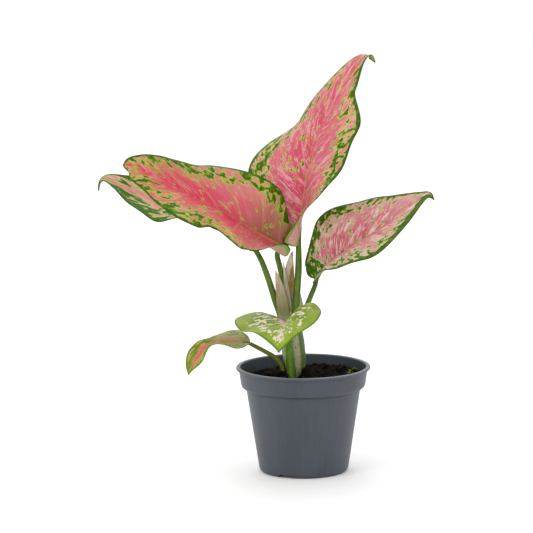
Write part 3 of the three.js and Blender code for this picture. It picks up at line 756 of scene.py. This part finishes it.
def make_blade(name, leaf):
    """The skin lies half a thickness off the middle surface. Side veins are shallow grooves on the
    face, and the midrib is a groove above and a round ridge below."""
    grid = sheet_points(leaf, BLADE_MARGIN, blade_vein, BLADE_ROWS, BLADE_HALF_COLUMNS)
    points, normal, t, v, reach = grid
    away = np.abs(v)
    inside = np.minimum(smooth(away, 1, 0.97), smooth(t, 0, 0.004))
    vein_wave = np.cos(2 * math.pi * SIDE_VEINS * t)
    vein = np.maximum(vein_wave, 0) ** 6 * smooth(away, 0.02, 0.1) * smooth(away, 1, 0.6)
    rib_size = leaf["ridge"] * (1 - 0.8 * t)
    rib = rib_size * np.exp(-((reach / (0.75 * rib_size + 0.25)) ** 2))
    quilt = 0.3 * (1 - vein_wave) * smooth(away, 0, 0.25) * smooth(away, 1, 0.7)
    relief = VEIN_DEPTH * (quilt - vein)
    top = BLADE_HALF_THICKNESS * inside + relief - 0.25 * rib
    bottom = BLADE_HALF_THICKNESS * inside - relief + 0.8 * rib
    skin, quads = closed_sheet(points + normal * top[..., None], points - normal * bottom[..., None])
    steps = np.linalg.norm(np.diff(points, axis=1), axis=-1)
    run = np.concatenate([0 * t[:, :1], np.cumsum(steps, axis=1)], axis=1)
    rib_line = 0.7 * np.exp(-((reach / (0.3 * rib_size + 0.2)) ** 2)) * (1 - 0.8 * t)
    vein_line = np.maximum(vein_wave, 0) ** 30 * smooth(away, 0.03, 0.1) * smooth(away, 1, 0.7)
    slot = "blade_green" if name == "low" else "blade_pink"
    return make_piece(
        "leaf_" + name, skin, quads, ["blade_" + name], slot,
        uv=both_faces(vein_uv(points, run, v) * leaf["grain"] * MM),
        rib=both_faces(rib_line), line=both_faces(0.35 * vein_line),
        **blade_marks(leaf, points, t, v, reach, run),
    )


for name, numbers in LEAVES.items():
    dress(make_blade(name, {**ALL_LEAVES, **numbers}), BLADE_MATERIALS[name])

# %% [markdown]
# ## Stalks
#
# Each stalk is a fleshy rod, round at the back with a shallow groove on the side it once clasped the
# younger leaf with. It could be a curve with a bevel, but a tube worked out on a grid can taper by
# the stalk's own radii and be grooved on one side. Three of them run on a little under the midrib,
# as one grown piece would.

# %% The stalks' numbers
STALKS = {
    "upright": dict(
        line=[[-10, -5, 124], [-9, -5, 133], [-6.5, -5, 147], [-4.5, -4, 170], [-3.5, -3, 187],
              [-3.3, -1.6, 205.2], [-2.7, 0.6, 213.5], [-1.7, 3.2, 221.5]],
        radii=[3.2, 3.2, 3.1, 3, 2.5, 1.5],
        finish=(1.1, "#4a6e08", "#2c4604", "#8a9a40"),
    ),
    "front": dict(
        line=[[-11, 3, 124], [-12, 3, 134], [-15, 3, 154], [-17, 2, 170], [-20.4, -0.8, 186],
              [-22.4, -2, 196], [-20, -4.4, 204]],
        radii=[2.6, 2.6, 2.6, 2.5, 2.3],
        finish=(2.2, "#4e740c", "#304e04", "#8a9a40"),
    ),
    "back": dict(
        line=[[-16, 0, 122], [-17.5, 0.5, 130], [-21, 2, 144], [-24.5, 3, 154], [-29, 4, 169],
              [-35, 6, 186], [-40, 8, 196], [-44.6, 8, 202.6]],
        radii=[3.2, 3.1, 2.9, 2.6, 2.2],
        finish=(3.3, "#50760e", "#325006", "#94a248"),
    ),
    "right": dict(
        line=[[-4, 0, 124], [-2.5, 0, 135], [3, -1, 148], [6.5, -2, 157], [11, -2, 168],
              [12.4, -2, 173.4], [14.4, -2.8, 177.2], [16.6, -3.8, 180.6]],
        radii=[2.8, 2.6, 2.4, 2.3, 2.1, 1.3],
        finish=(4.4, "#4c6e0a", "#304c06", "#8a9a40"),
    ),
    "low": dict(
        line=[[-10, -8, 74], [-10.8, -9, 92], [-12.3, -11, 111], [-13.4, -14, 125],
              [-13.3, -16.8, 136.3]],
        radii=[3.8, 4, 3.8, 3.2, 2.4],
        finish=(5.5, "#5c8a18", "#447010", "#9fb35c"),
    ),
    "small": dict(
        line=[[-17.4, -6.5, 76], [-17.9, -8, 88], [-19.4, -9.5, 97], [-24.5, -11.5, 104.5],
              [-34, -13.8, 111], [-46.4, -15.8, 118], [-50, -18, 119.6], [-54, -20.6, 120.8]],
        radii=[2.3, 2.2, 2.1, 2, 1.8, 1.1],
        finish=(6.6, "#70781c", "#545e10", "#949248"),
    ),
}
print("Stalks:", ", ".join(STALKS))

# %% Stalks
STALK_RINGS = 90
STALK_SIDES = 40
CLASP_TURN = 0.25


def tube(line, radius, rings, sides, end_round=0.4):
    """Circles square to the line; radius is a function of s and the angle. Both ends close to a point
    over a short dome. Returns points, quads, end triangles and the UV: the share of a turn and s."""
    s = np.linspace(0, 1, rings)[:, None]
    turn = np.linspace(0, 1, sides, endpoint=False)[None, :]
    path = Line(line)
    tangent = path.tangent(s[:, 0])
    side = unit(np.cross(tangent, [0, 1, 0]))
    other = np.cross(side, tangent)
    angle = 2 * math.pi * turn
    dome = np.minimum(s, 1 - s) * path.length
    shrink = np.sqrt(np.clip(1 - (1 - np.clip(dome / end_round, 0, 1)) ** 2, 0.12, 1))
    spoke = side[:, None] * np.cos(angle)[..., None] - other[:, None] * np.sin(angle)[..., None]
    points = path.at(s[:, 0])[:, None] + spoke * (radius(s, turn) * shrink)[..., None]
    skin, quads, ends = capped(points, points.mean(axis=1)[[0, -1]])
    uv = np.stack([turn + 0 * s, s + 0 * turn], -1).reshape(-1, 2)
    return skin, quads, ends, np.concatenate([uv, [[0.5, 0], [0.5, 1]]])


def clasping(turn, width):
    """1 on the side that clasped the younger leaf, falling to 0 round the stalk: exp(-(off/width)^2)."""
    off = (turn - CLASP_TURN + 0.5) % 1 - 0.5
    return np.exp(-((off / width) ** 2))


def make_stalk(name, line, radii):
    """The radius follows the stalk's own values, with a shallow groove on the clasping side."""

    def radius(s, turn):
        return along(radii, s) * (1 - 0.12 * clasping(turn, 0.07) * smooth(s, 0.95, 0.6))

    skin, quads, ends, uv = tube(line, radius, STALK_RINGS, STALK_SIDES)
    clasp = clasping(uv[:, 0], 0.09) * 0.6 * (1 - uv[:, 1])
    return make_piece(
        "stalk_" + name, skin, quads, ["leafstalk_" + name], "stalk", ends, uv, clasp=clasp
    )


def stalk_material(name, seed, light, dark, pale):
    """Green flesh with fine streaks along the stalk, a few pale pores and a paler clasping side."""
    material, tree, shader = new_material(name, 0.4, 0.25)
    place = object_place(tree)
    streak = noise(place, (900, 900, 45), 3, 0.6, seed)
    shade = sway(noise(place, 60, 2, 0.5, seed), streak, 0.9)
    flesh = blend(spread(shade, 0.3, 0.68), colour(dark), colour(light))
    pores = spread(noise(place, 520, 1, 0.5, seed), 0.66, 0.74, 0, 0.55)
    flesh = stained(flesh, (pores, pale), (attribute(tree, "clasp"), pale))
    rough = spread(streak, 0.3, 0.7, 0.3, 0.46, "LINEAR")
    finish(shader, flesh, rough, streak, 0.35, 0.0004)
    return material


for name, stalk in STALKS.items():
    look = stalk_material("stalk_" + name, *stalk["finish"])
    dress(make_stalk(name, stalk["line"], stalk["radii"]), look)

# %% [markdown]
# ## The stem
#
# The short cane is wrapped in the bases of older stalks, one over the other, so it shows as stripes
# of pale membrane and green flesh. Each wrap ends in an edge that stands a little proud. One tube
# with a radius that steps up where a wrap begins gives that, and the colours follow the same angle.

# %% Stem
STEM_LINE = [[-5.4, 0, 66], [-5.6, 0, 84], [-8.4, 0, 108], [-9.8, 0, 128], [-11, 0, 146]]
STEM_RADII = [7.5, 8.4, 11.1, 10, 4.5]
STEM_RINGS = 140
STEM_SIDES = 120
STEM_DOME = 1.2
WRAP_EDGES = [(0.045, 0.5), (0.155, 0.35), (0.325, 0.6), (0.58, 0.5), (0.83, 0.5)]
WRAP_SLANT = 0.05
LEAF_SCARS = 7
STRIPES = [(0.0, "#4c7014"), (0.05, "#5c7c24"), (0.07, "#b9b68c"), (0.15, "#b2ae84"),
           (0.18, "#5c8e1e"), (0.23, "#659426"), (0.25, "#bcb49a"), (0.325, "#aea88a"),
           (0.345, "#456c14"), (0.42, "#34590c"), (0.5, "#3a600e"), (0.7, "#6b8a34"),
           (0.85, "#8a9450"), (1.0, "#4c7014")]


def stem_radius(s, turn):
    """The cane's own radius, with a step of up to a third of a millimetre at each wrap's edge and low
    rings where old leaves stood."""
    rise = 0
    for place, step in WRAP_EDGES:
        behind = (turn - place - WRAP_SLANT * s) % 1
        rise = rise + step * (np.exp(-behind / 0.05) - 0.35)
    scars = 0.25 * np.exp(-(((s * LEAF_SCARS) % 1 - 0.5) ** 2) / 0.004)
    return along(STEM_RADII, s) - 0.25 + 0.55 * rise + scars


def stem_material():
    """Stripes by the angle round the cane, pale membrane and green flesh, with fine fibres, brown
    spots and a duller foot."""
    material, tree, shader = new_material("stem", 0.45, 0.4)
    turn, height, _ = split(surface_uv(tree))
    place = object_place(tree)
    ramp = tree.nodes.new("ShaderNodeValToRGB")
    while len(ramp.color_ramp.elements) < len(STRIPES):
        ramp.color_ramp.elements.new(0.5)
    for element, (at, code) in zip(ramp.color_ramp.elements, STRIPES):
        element.position = at
        element.color = colour(code)
    feed(ramp.inputs[0], sway(turn, noise(place, (60, 60, 25)), 0.06))
    streak = noise(place, (800, 800, 50), 3, 0.6)
    fibres = spread(streak, 0.3, 0.7, 0.0, 0.3)
    spots = spread(noise(place, (330, 330, 210)), 0.6, 0.7, 0, 0.7)
    foot = spread(height, 0.42, 0.22, 0.0, 0.35)
    stains = (fibres, "#7f9448"), (spots, "#7a5a34"), (foot, "#6f7a3c")
    flesh = stained(ramp.outputs[0], *stains)
    rough = spread(streak, 0.3, 0.7, 0.36, 0.6, "LINEAR")
    finish(shader, flesh, rough, streak, 0.4, 0.0005)
    return material


skin, quads, ends, uv = tube(STEM_LINE, stem_radius, STEM_RINGS, STEM_SIDES, STEM_DOME)
dress(make_piece("cane", skin, quads, ["stem"], "stalk", ends, uv), stem_material())

# %% [markdown]
# ## Papery sheaths
#
# Between the stalks stand the dry tips of old sheaths: beige, ribbed lengthwise, greenish below and
# brown where they dried first. They are strips of the same bent surface as the leaves, thin, with
# fine ribs and a torn edge worked into the grid.

# %% The sheaths' numbers
PLAIN = dict(heading=90, lobe=[1, 1], curl=[[0, 0]] * 2, waves=[[0, 1, 0]] * 2, lifts=[[0, 0]] * 2)
SHEATHS = {
    "back": dict(
        midrib=[[-15, -4.5, 128], [-18, -5.4, 145], [-21, -5.6, 165], [-24, -5.4, 183]],
        widths=[[4.5, 4.5, 3.6, 2.2], [5, 6.5, 6, 3.4]],
        lifts=[[-12, -12, -8, 0], [-10, -10, -6, 0]],
        finish=(1.3, 0.5, 0.85),
    ),
    "front": dict(
        midrib=[[-11, -2.9, 132], [-12.8, -3, 150], [-14.8, -2.9, 170], [-17, -2.8, 190]],
        widths=[[3, 3.2, 2.2, 1.4], [3.5, 3.4, 2.4, 1.4]],
        finish=(2.6, 0.4, 0.7),
    ),
    "upright": dict(
        midrib=[[-9.5, -1.2, 130], [-11, -1.4, 150], [-10.4, -1.1, 174], [-8.7, -0.6, 199.5]],
        widths=[[5, 5.5, 7.5, 5.5], [4, 5, 3.4, 1.6]],
        finish=(3.9, 1.0, 0.7),
    ),
    "right": dict(
        midrib=[[-2, -1.4, 128], [-2, -1.6, 145], [-2.4, -1.8, 162]],
        widths=[[1.8, 2, 1.4], [3.4, 3.2, 1.8]],
        finish=(5.2, 0.5, 0.5),
    ),
}
print("Sheaths:", ", ".join(SHEATHS))

# %% Sheaths
SHEATH_ROWS = 110
SHEATH_HALF_COLUMNS = 18
SHEATH_HALF_THICKNESS = 0.28


def make_sheath(name, sheath):
    """A strip with fine ribs along it, whose edge wavers a little more towards the tip."""
    grid = sheet_points(sheath, SHEATH_MARGIN, lambda t: t, SHEATH_ROWS, SHEATH_HALF_COLUMNS)
    points, normal, t, v, _ = grid
    away = np.abs(v)
    torn = 0.16 * np.sin(60 * t + 9 * v) * np.sin(23 * t) * smooth(away, 0.6, 1) * smooth(t, 0.5, 1)
    ribs = 0.07 * np.cos(22 * v) + 0.1 * np.sin(9 * v + 2 * t)
    inside = np.minimum(smooth(away, 1, 0.9), np.minimum(smooth(t, 0, 0.02), smooth(t, 1, 0.98)))
    middle = points + normal * (ribs * inside + torn)[..., None]
    off = normal * (SHEATH_HALF_THICKNESS * inside)[..., None]
    skin, quads = closed_sheet(middle + off, middle - off)
    return make_piece(
        "sheath_flap_" + name, skin, quads, ["sheath_" + name], "papery_sheath",
        height=both_faces(t), away=both_faces(away),
    )


def sheath_material(name, seed, tip_brown, low_green):
    """Beige paper with fibres: green below, brown in clouds above that, and a duller rim."""
    material, tree, shader = new_material(name, 0.62, 0.3)
    place = object_place(tree)
    fibre = noise(place, (1500, 1500, 45), 3, 0.6, seed)
    cloud = noise(place, (150, 150, 40), 2, 0.55, seed)
    height = attribute(tree, "height")
    green = spread(sway(height, cloud, 1.3), 0.95, 0.2, 0, low_green)
    brown = times(spread(cloud, 0.45, 0.58), spread(height, 0.1, 0.5))
    rim = spread(attribute(tree, "away"), 0.85, 1.0, 0, 0.5)
    paper = blend(spread(fibre, 0.3, 0.7), colour("#bfae9c"), colour("#e8ddd2"))
    stains = (green, "#7c8240"), (times(brown, tip_brown), "#94702a"), (rim, "#8d8660")
    paper = stained(paper, *stains)
    rough = spread(fibre, 0.3, 0.7, 0.5, 0.75, "LINEAR")
    finish(shader, paper, rough, fibre, 0.5, 0.0004)
    return material


for name, sheath in SHEATHS.items():
    look = sheath_material("sheath_" + name, *sheath["finish"])
    dress(make_sheath(name, {**PLAIN, **sheath}), look)

# %% [markdown]
# ## The pot
#
# The pot is moulded in one piece: a lip, a rolled collar, a tapering wall, and a foot with three
# channels that let water out under the drain holes. It is a profile turned about the axis, with each
# corner rounded by a short curve. Over a channel the foot is lifted to the channel's roof.

# %% Pot
POT_HEIGHT = 95
LIP_RADIUS = 60
LIP_LOW = 92.6
COLLAR_TOP = 57.5
COLLAR_LOW = 55.7
COLLAR_Z = 76
BODY_TOP = 51.2
BODY_LOW = 40
FOOT = 37
WALL = 1.4
CHANNEL_WIDTH = 15
CHANNEL_HEIGHT = 3
CHANNEL_START = 12
CHANNEL_ANGLES = [math.radians(degrees) for degrees in (-114, 6, 126)]
CHANNEL_SOFTNESS = 0.35
DRAIN_RADIUS = 2.5
DRAIN_PLACES = [20, 31]
PIN_SEGMENTS = 32
POT_SEGMENTS = 288
CORNER_SIZE = 0.7
# Height of the dark line painted just under the collar: painted shade in the groove there.
COLLAR_SHADE_LINE = COLLAR_Z - 0.8
# Heights over which the top of the rim is painted lighter: a painted highlight.
LIP_HIGHLIGHT = [POT_HEIGHT - 1.3, POT_HEIGHT - 0.3]
LONGEST_STEP = 2.2
SHARP_ANGLE = math.radians(50)
OUTER = [
    [0, 0], [FOOT, 0], [FOOT + 1.7, 0.8], [BODY_LOW, 3], [BODY_TOP, COLLAR_Z - 0.6],
    [BODY_TOP + 2.2, COLLAR_Z], [COLLAR_LOW - 0.8, COLLAR_Z + 1], [COLLAR_LOW, COLLAR_Z + 3],
    [COLLAR_TOP, LIP_LOW - 0.6], [LIP_RADIUS - 0.4, LIP_LOW], [LIP_RADIUS, LIP_LOW + 0.7],
    [LIP_RADIUS, POT_HEIGHT - 0.7], [LIP_RADIUS - 0.7, POT_HEIGHT],
]
INNER = [
    [COLLAR_TOP - WALL + 0.3, POT_HEIGHT], [COLLAR_TOP - WALL, LIP_LOW],
    [COLLAR_LOW - WALL, COLLAR_Z + 3], [BODY_TOP - WALL, COLLAR_Z], [BODY_LOW - WALL, 3],
    [FOOT, WALL], [0, WALL],
]


def rounded(corners, size, steps):
    """Each inner corner becomes a short curve between the points size before and after it:
    (1-u)^2 A + 2u(1-u) C + u^2 B."""
    corners = np.asarray(corners, float)
    before, here, after = corners[:-2], corners[1:-1], corners[2:]
    leg_in, leg_out = here - before, after - here
    long_in = np.linalg.norm(leg_in, axis=1, keepdims=True)
    long_out = np.linalg.norm(leg_out, axis=1, keepdims=True)
    cut = np.minimum(size, 0.45 * np.minimum(long_in, long_out))
    a = (here - leg_in / long_in * cut)[:, None]
    b = (here + leg_out / long_out * cut)[:, None]
    u = np.linspace(0, 1, steps)[None, :, None]
    arcs = (1 - u) ** 2 * a + 2 * u * (1 - u) * here[:, None] + u**2 * b
    return np.concatenate([corners[:1], arcs.reshape(-1, 2), corners[-1:]])


def filled(profile, gap):
    """Adds points so that no step along the profile is longer than gap."""
    run = run_of(profile)
    extra = np.arange(0, run[-1], gap)
    places = np.unique(np.round(np.concatenate([run, extra]), 3))
    places = places[np.concatenate([[True], np.diff(places) > 0.02])]
    return np.stack([np.interp(places, run, profile[:, k]) for k in range(2)], -1)


def channel_share(x, y, extra):
    """1 inside a drain channel and 0 outside, with a rise of under a millimetre between."""
    inside = 0 * x
    half, start = CHANNEL_WIDTH / 2 + extra, CHANNEL_START - extra
    for angle in CHANNEL_ANGLES:
        run = x * math.cos(angle) + y * math.sin(angle)
        off = np.abs(y * math.cos(angle) - x * math.sin(angle))
        wide = smooth(off, half + CHANNEL_SOFTNESS, half - CHANNEL_SOFTNESS)
        deep = smooth(run, start - CHANNEL_SOFTNESS, start + CHANNEL_SOFTNESS)
        inside = np.maximum(inside, wide * deep)
    return inside


def revolve(profile, segments):
    """A profile of radius and height from the axis out and back to the axis, turned about Z."""
    turn = 2 * math.pi * np.arange(segments) / segments
    r, z = profile[1:-1, :1], profile[1:-1, 1:] + 0 * turn
    rings = np.stack([r * np.cos(turn), r * np.sin(turn), z], -1)
    return capped(rings, [[0, 0, profile[0, 1]], [0, 0, profile[-1, 1]]])


def make_pot():
    """The outer profile and the inner one, turned. Over a channel both skins rise to its roof."""
    outer = filled(rounded(OUTER + INNER[:1], CORNER_SIZE, 5)[:-1], LONGEST_STEP)
    inner = filled(rounded(OUTER[-1:] + INNER, CORNER_SIZE, 4)[1:], LONGEST_STEP)
    profile = np.concatenate([outer, inner])
    points, quads, ends = revolve(profile, POT_SEGMENTS)
    outside = np.repeat(np.arange(len(profile) - 2) < len(outer) - 1, POT_SEGMENTS)
    outside = np.concatenate([outside, [True, False]])
    x, y, z = points.T
    roof_out = CHANNEL_HEIGHT * channel_share(x, y, 0)
    roof_in = (CHANNEL_HEIGHT + WALL) * channel_share(x, y, WALL)
    points[:, 2] = np.maximum(z, np.where(outside, roof_out, roof_in))
    return make_piece("nursery_pot", points, quads, ["pot"], "pot_plastic", ends)


def cut_drain_holes(pot):
    """Takes upright pins out of the pot's floor, two in the roof of each channel. A pin is a profile
    turned about the axis and shifted to its place."""
    side = np.array([[0, 1], [DRAIN_RADIUS, 1], [DRAIN_RADIUS, 7], [0, 7]], float)
    pin, quads, ends = revolve(side, PIN_SEGMENTS)
    shape = bmesh.new()
    for angle in CHANNEL_ANGLES:
        for distance in DRAIN_PLACES:
            place = distance * np.array([math.cos(angle), math.sin(angle), 0])
            corners = [shape.verts.new(point) for point in ((pin + place) * MM).tolist()]
            for face in quads.tolist() + ends.tolist():
                shape.faces.new([corners[k] for k in face])
    bmesh.ops.recalc_face_normals(shape, faces=shape.faces)
    mesh = bpy.data.meshes.new("drain_pins")
    shape.to_mesh(mesh)
    shape.free()
    pins = add_object("drain_pins", mesh)
    cut = pot.modifiers.new("drain", "BOOLEAN")
    cut.operation = "DIFFERENCE"
    cut.solver = "EXACT"
    cut.object = pins
    graph = bpy.context.evaluated_depsgraph_get()
    whole, pot.data = pot.data, bpy.data.meshes.new_from_object(pot.evaluated_get(graph))
    pot.modifiers.clear()
    pot.data.name = pot.name
    pot.data.set_sharp_from_angle(angle=SHARP_ANGLE)
    bpy.data.objects.remove(pins)
    for used in (mesh, whole):
        bpy.data.meshes.remove(used)


def pot_material():
    """Slate-grey moulded plastic: fine grain, faint upright draw marks, a painted highlight round the
    top of the rim and a line of painted shade under the collar."""
    material, tree, shader = new_material("pot_plastic", 0.46, 0.42)
    place = object_place(tree)
    height = split(place)[2]
    cloud = noise(place, (22, 22, 9), 3, 0.55)
    shade = sway(cloud, noise(place, (260, 260, 7)), 0.5)
    scuff = noise(place, (180, 180, 620), 3, 0.7)
    groove = calc("ABSOLUTE", calc("SUBTRACT", height, COLLAR_SHADE_LINE * MM))
    base = blend(spread(shade, 0.3, 0.7), colour("#3a4049"), colour("#424851"))
    # The top of the rim is painted lighter: a painted highlight.
    lip_highlight = spread(height, LIP_HIGHLIGHT[0] * MM, LIP_HIGHLIGHT[1] * MM, 0, 0.5)
    # A dark line painted just under the collar: painted shade.
    collar_shade = spread(groove, 0.0013, 0.0004, 0, 0.6)
    scratches = spread(scuff, 0.66, 0.76, 0, 0.3)
    base = stained(base, (lip_highlight, "#7f848a"), (collar_shade, "#22252a"), (scratches, "#5a5f66"))
    rough = calc("MULTIPLY_ADD", cloud, 0.18, spread(scuff, 0.6, 0.75, 0.36, 0.46))
    finish(shader, base, rough, noise(place, 1400, 2, 0.6), 0.12, 0.0002)
    return material


pot = make_pot()
cut_drain_holes(pot)
dress(pot, pot_material())

# %% [markdown]
# ## The soil
#
# The peat slopes a little, is heaped up in two places in front of the stem, and its surface is all
# crumbs. It is a height for every place in the pot's mouth: slow swells from a few sine waves, two
# mounds, and clumps from layers of smooth noise. Loose crumbs, bark and moss lie on it as many
# small lumps.

# %% Soil surface
SOIL_LEVEL = 84
SOIL_SWELL = 1.6
SOIL_SIDE = [[0, 1.7], [36, 1.7], [BODY_LOW - 2.1, 3.4], [BODY_TOP - 2.6, 76.1], [53.7, 79.2]]
SOIL_RADIUS = 53.9
SOIL_STEP = 0.55
SOIL_ROOF = 4.7
MOUNDS = [[2.5, -11.5, 12.5], [-20, -13, 10.5]]
MOUTH = 90
CELLS = 64
rng = np.random.default_rng(12)
LATTICE = rng.random((CELLS, CELLS))


def lattice_noise(x, y, size):
    """Random values on a square lattice, joined smoothly: 0 to 1, with lumps about size wide."""
    u, v = x / size, y / size
    i, j = np.floor(u).astype(int), np.floor(v).astype(int)
    f, g = smooth(u - i, 0, 1), smooth(v - j, 0, 1)
    near, far = (
        LATTICE[i % CELLS, k % CELLS] * (1 - f) + LATTICE[(i + 1) % CELLS, k % CELLS] * f
        for k in (j, j + 1)
    )
    return near * (1 - g) + far * g


def soil_height(x, y):
    """A slight slope, slow swells from sine waves, two mounds, and clumps of three sizes."""
    heap = 0.035 * x + 0.03 * y
    coarse = np.sin(0.21 * x + 1.3) * np.cos(0.19 * y + 0.4)
    fine = np.sin(0.47 * x + 0.31 * y) * np.cos(0.43 * y - 0.29 * x + 1)
    mound = sum(height * np.exp(-((x - a) ** 2 + (y - b) ** 2) / 40) for a, b, height in MOUNDS)
    crumbs = 1.5 * lattice_noise(x, y, 5.1) + 1.1 * lattice_noise(y + 31, x, 2.3)
    crumbs = crumbs + 0.8 * lattice_noise(x + 17, y + 5, 1.15)
    return SOIL_LEVEL + heap + SOIL_SWELL * (coarse + 0.6 * fine) + mound + crumbs - 1.9


def make_soil():
    """Rings from the bottom's middle up the side and in over the surface to its middle."""
    radii = np.arange(SOIL_RADIUS, 0.2, -SOIL_STEP)
    surface = np.stack([radii, 0 * radii + MOUTH], -1)
    profile = np.concatenate([filled(np.array(SOIL_SIDE, float), 6), surface, [[0, MOUTH]]])
    points, quads, ends = revolve(profile, POT_SEGMENTS)
    x, y, z = points.T
    floor = np.maximum(z, SOIL_ROOF * channel_share(x, y, 1.7))
    points[:, 2] = np.where(z > MOUTH - 1, soil_height(x, y), floor)
    return make_piece("peat", points, quads, ["soil"], "soil", ends)


def soil_material():
    """Near-black damp peat with browner dry grains and a few pale specks."""
    material, tree, shader = new_material("peat", 0.95, 0.08)
    place = object_place(tree)
    clump = noise(place, 210, 4, 0.65)
    grain = noise(place, 900, 3, 0.7)
    shade = calc("MULTIPLY_ADD", grain, 0.5, times(clump, 0.5))
    earth = blend(spread(shade, 0.42, 0.66), colour("#0a0705"), colour("#20150e"))
    speck = spread(noise(place, 430, 1, 0.5), 0.72, 0.77, 0, 0.6)
    earth = stained(earth, (speck, "#5f4c36"))
    rough = spread(clump, 0.3, 0.7, 0.82, 1.0, "LINEAR")
    finish(shader, earth, rough, grain, 0.9, 0.0012)
    return material


peat = soil_material()
dress(make_soil(), peat)

# %% Loose crumbs
CRUMBS = 620
BARK_BITS = 170
MOSS_BITS = 26
MOSS_PLACE = (46, 12)
MOSS_SPREAD = 7
CRUMB_SPREAD = 52.5
CRUMB_LIMIT = 52.3


def lump_mesh():
    """The points and triangles of a regular solid with twenty faces."""
    shape = bmesh.new()
    bmesh.ops.create_icosphere(shape, subdivisions=1, radius=1)
    points = np.array([v.co[:] for v in shape.verts])
    faces = np.array([[v.index for v in f.verts] for f in shape.faces])
    shape.free()
    return points, faces


def make_crumbs(count, smallest, largest, middle=(0, 0), spread_out=CRUMB_SPREAD):
    """Copies of one lump, each squashed, turned and set into the surface at a random place."""
    ball, faces = lump_mesh()
    radius = spread_out * np.sqrt(rng.random(count))
    turn = 2 * math.pi * rng.random(count)
    x, y = middle[0] + radius * np.cos(turn), middle[1] + radius * np.sin(turn)
    inwards = np.minimum(1, CRUMB_LIMIT / np.hypot(x, y))
    x, y = x * inwards, y * inwards
    size = smallest + (largest - smallest) * rng.random(count) ** 3
    stretch = size[:, None] * (0.6 + 0.8 * rng.random((count, 3)))
    knobs = 1 + 0.45 * (rng.random((count, len(ball), 1)) - 0.5)
    a, b, c = np.moveaxis(ball[None] * knobs * stretch[:, None], -1, 0)
    spin = 2 * math.pi * rng.random(count)[:, None]
    cos, sin = np.cos(spin), np.sin(spin)
    z = soil_height(x, y) + 0.15 * size
    lumps = [a * cos - b * sin + x[:, None], a * sin + b * cos + y[:, None], c + z[:, None]]
    index = faces[None] + (np.arange(count) * len(ball))[:, None, None]
    return np.stack(lumps, -1).reshape(-1, 3), index.reshape(-1, 3)


def make_loose(name, points, triangles):
    mesh = bpy.data.meshes.new(name)
    mesh.from_pydata((points * MM).tolist(), [], triangles.tolist())
    mesh.update()
    piece = add_object(name, mesh)
    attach(piece, "root")
    return piece


def bit_material(name, dark, light):
    """A dull, mottled surface for dry bark and for moss."""
    material, tree, shader = new_material(name, 0.9, 0.15)
    mottle = noise(object_place(tree), 1100, 3, 0.6)
    tint = blend(spread(mottle, 0.35, 0.65), colour(dark), colour(light))
    finish(shader, tint, 0.9, mottle, 0.7, 0.0008)
    return material


bark, moss = bit_material("bark", "#140c08", "#3a281c"), bit_material("moss", "#4a5618", "#a0a850")
dress(make_loose("peat_crumbs", *make_crumbs(CRUMBS, 0.35, 1.9)), peat)
dress(make_loose("bark_bits", *make_crumbs(BARK_BITS, 0.5, 2.2)), bark)
dress(make_loose("moss_bits", *make_crumbs(MOSS_BITS, 0.5, 1.6, MOSS_PLACE, MOSS_SPREAD)), moss)

# %% [markdown]
# ## Light and floor
#
# The photograph was taken on a white sweep under large soft lamps: hardly any shadow, and a faint
# darker patch in front of the pot. An even white surround gives the first. One large soft lamp at the
# upper left lets the pot's right side fall off a little, and a second one, above and behind, draws
# the soft shadow in front of the pot.

# %% Floor, lamps and surround
FLOOR_SIZE = 6
SURROUND = 1.02
KEY_PLACE, KEY_AIM, KEY_SIZE, KEY_POWER = (-1.3, -1.3, 1.4), (0, 0, 0.18), 1.2, 9
BACK_PLACE, BACK_AIM, BACK_SIZE, BACK_POWER = (-0.1, 1.15, 1.35), (0, 0, 0), 1.0, 7
WHITE = (1, 1, 1, 1)


def make_floor():
    mesh = bpy.data.meshes.new("floor")
    ends = ((-1, -1), (1, -1), (1, 1), (-1, 1))
    mesh.from_pydata([(FLOOR_SIZE * x, FLOOR_SIZE * y, 0) for x, y in ends], [], [(0, 1, 2, 3)])
    floor = add_object("floor", mesh)
    material, _, shader = new_material("floor", 0.9, 0.1)
    shader.inputs["Base Color"].default_value = colour("#fdfdfd")
    shader.inputs["Emission Color"].default_value = WHITE
    shader.inputs["Emission Strength"].default_value = 0.02
    mesh.materials.append(material)


def make_lamp(name, place, aim, size, power):
    """A square soft lamp that shines from its place towards the aim."""
    data = bpy.data.lights.new(name, "AREA")
    data.shape = "SQUARE"
    data.size = size
    data.energy = power
    backward = unit(np.array(place, float) - np.array(aim, float))
    side = unit(np.cross([0, 0, 1], backward))
    add_object(name, data).matrix_world = turned(side, np.cross(backward, side), backward, place)


def make_world(strength):
    world = bpy.data.worlds.new("surround")
    world.use_nodes = True
    background = world.node_tree.nodes["Background"]
    background.inputs["Color"].default_value = WHITE
    background.inputs["Strength"].default_value = strength
    bpy.context.scene.world = world


make_floor()
make_world(SURROUND)
make_lamp("key", KEY_PLACE, KEY_AIM, KEY_SIZE, KEY_POWER)
make_lamp("back", BACK_PLACE, BACK_AIM, BACK_SIZE, BACK_POWER)
bpy.context.scene.view_settings.view_transform = "Standard"
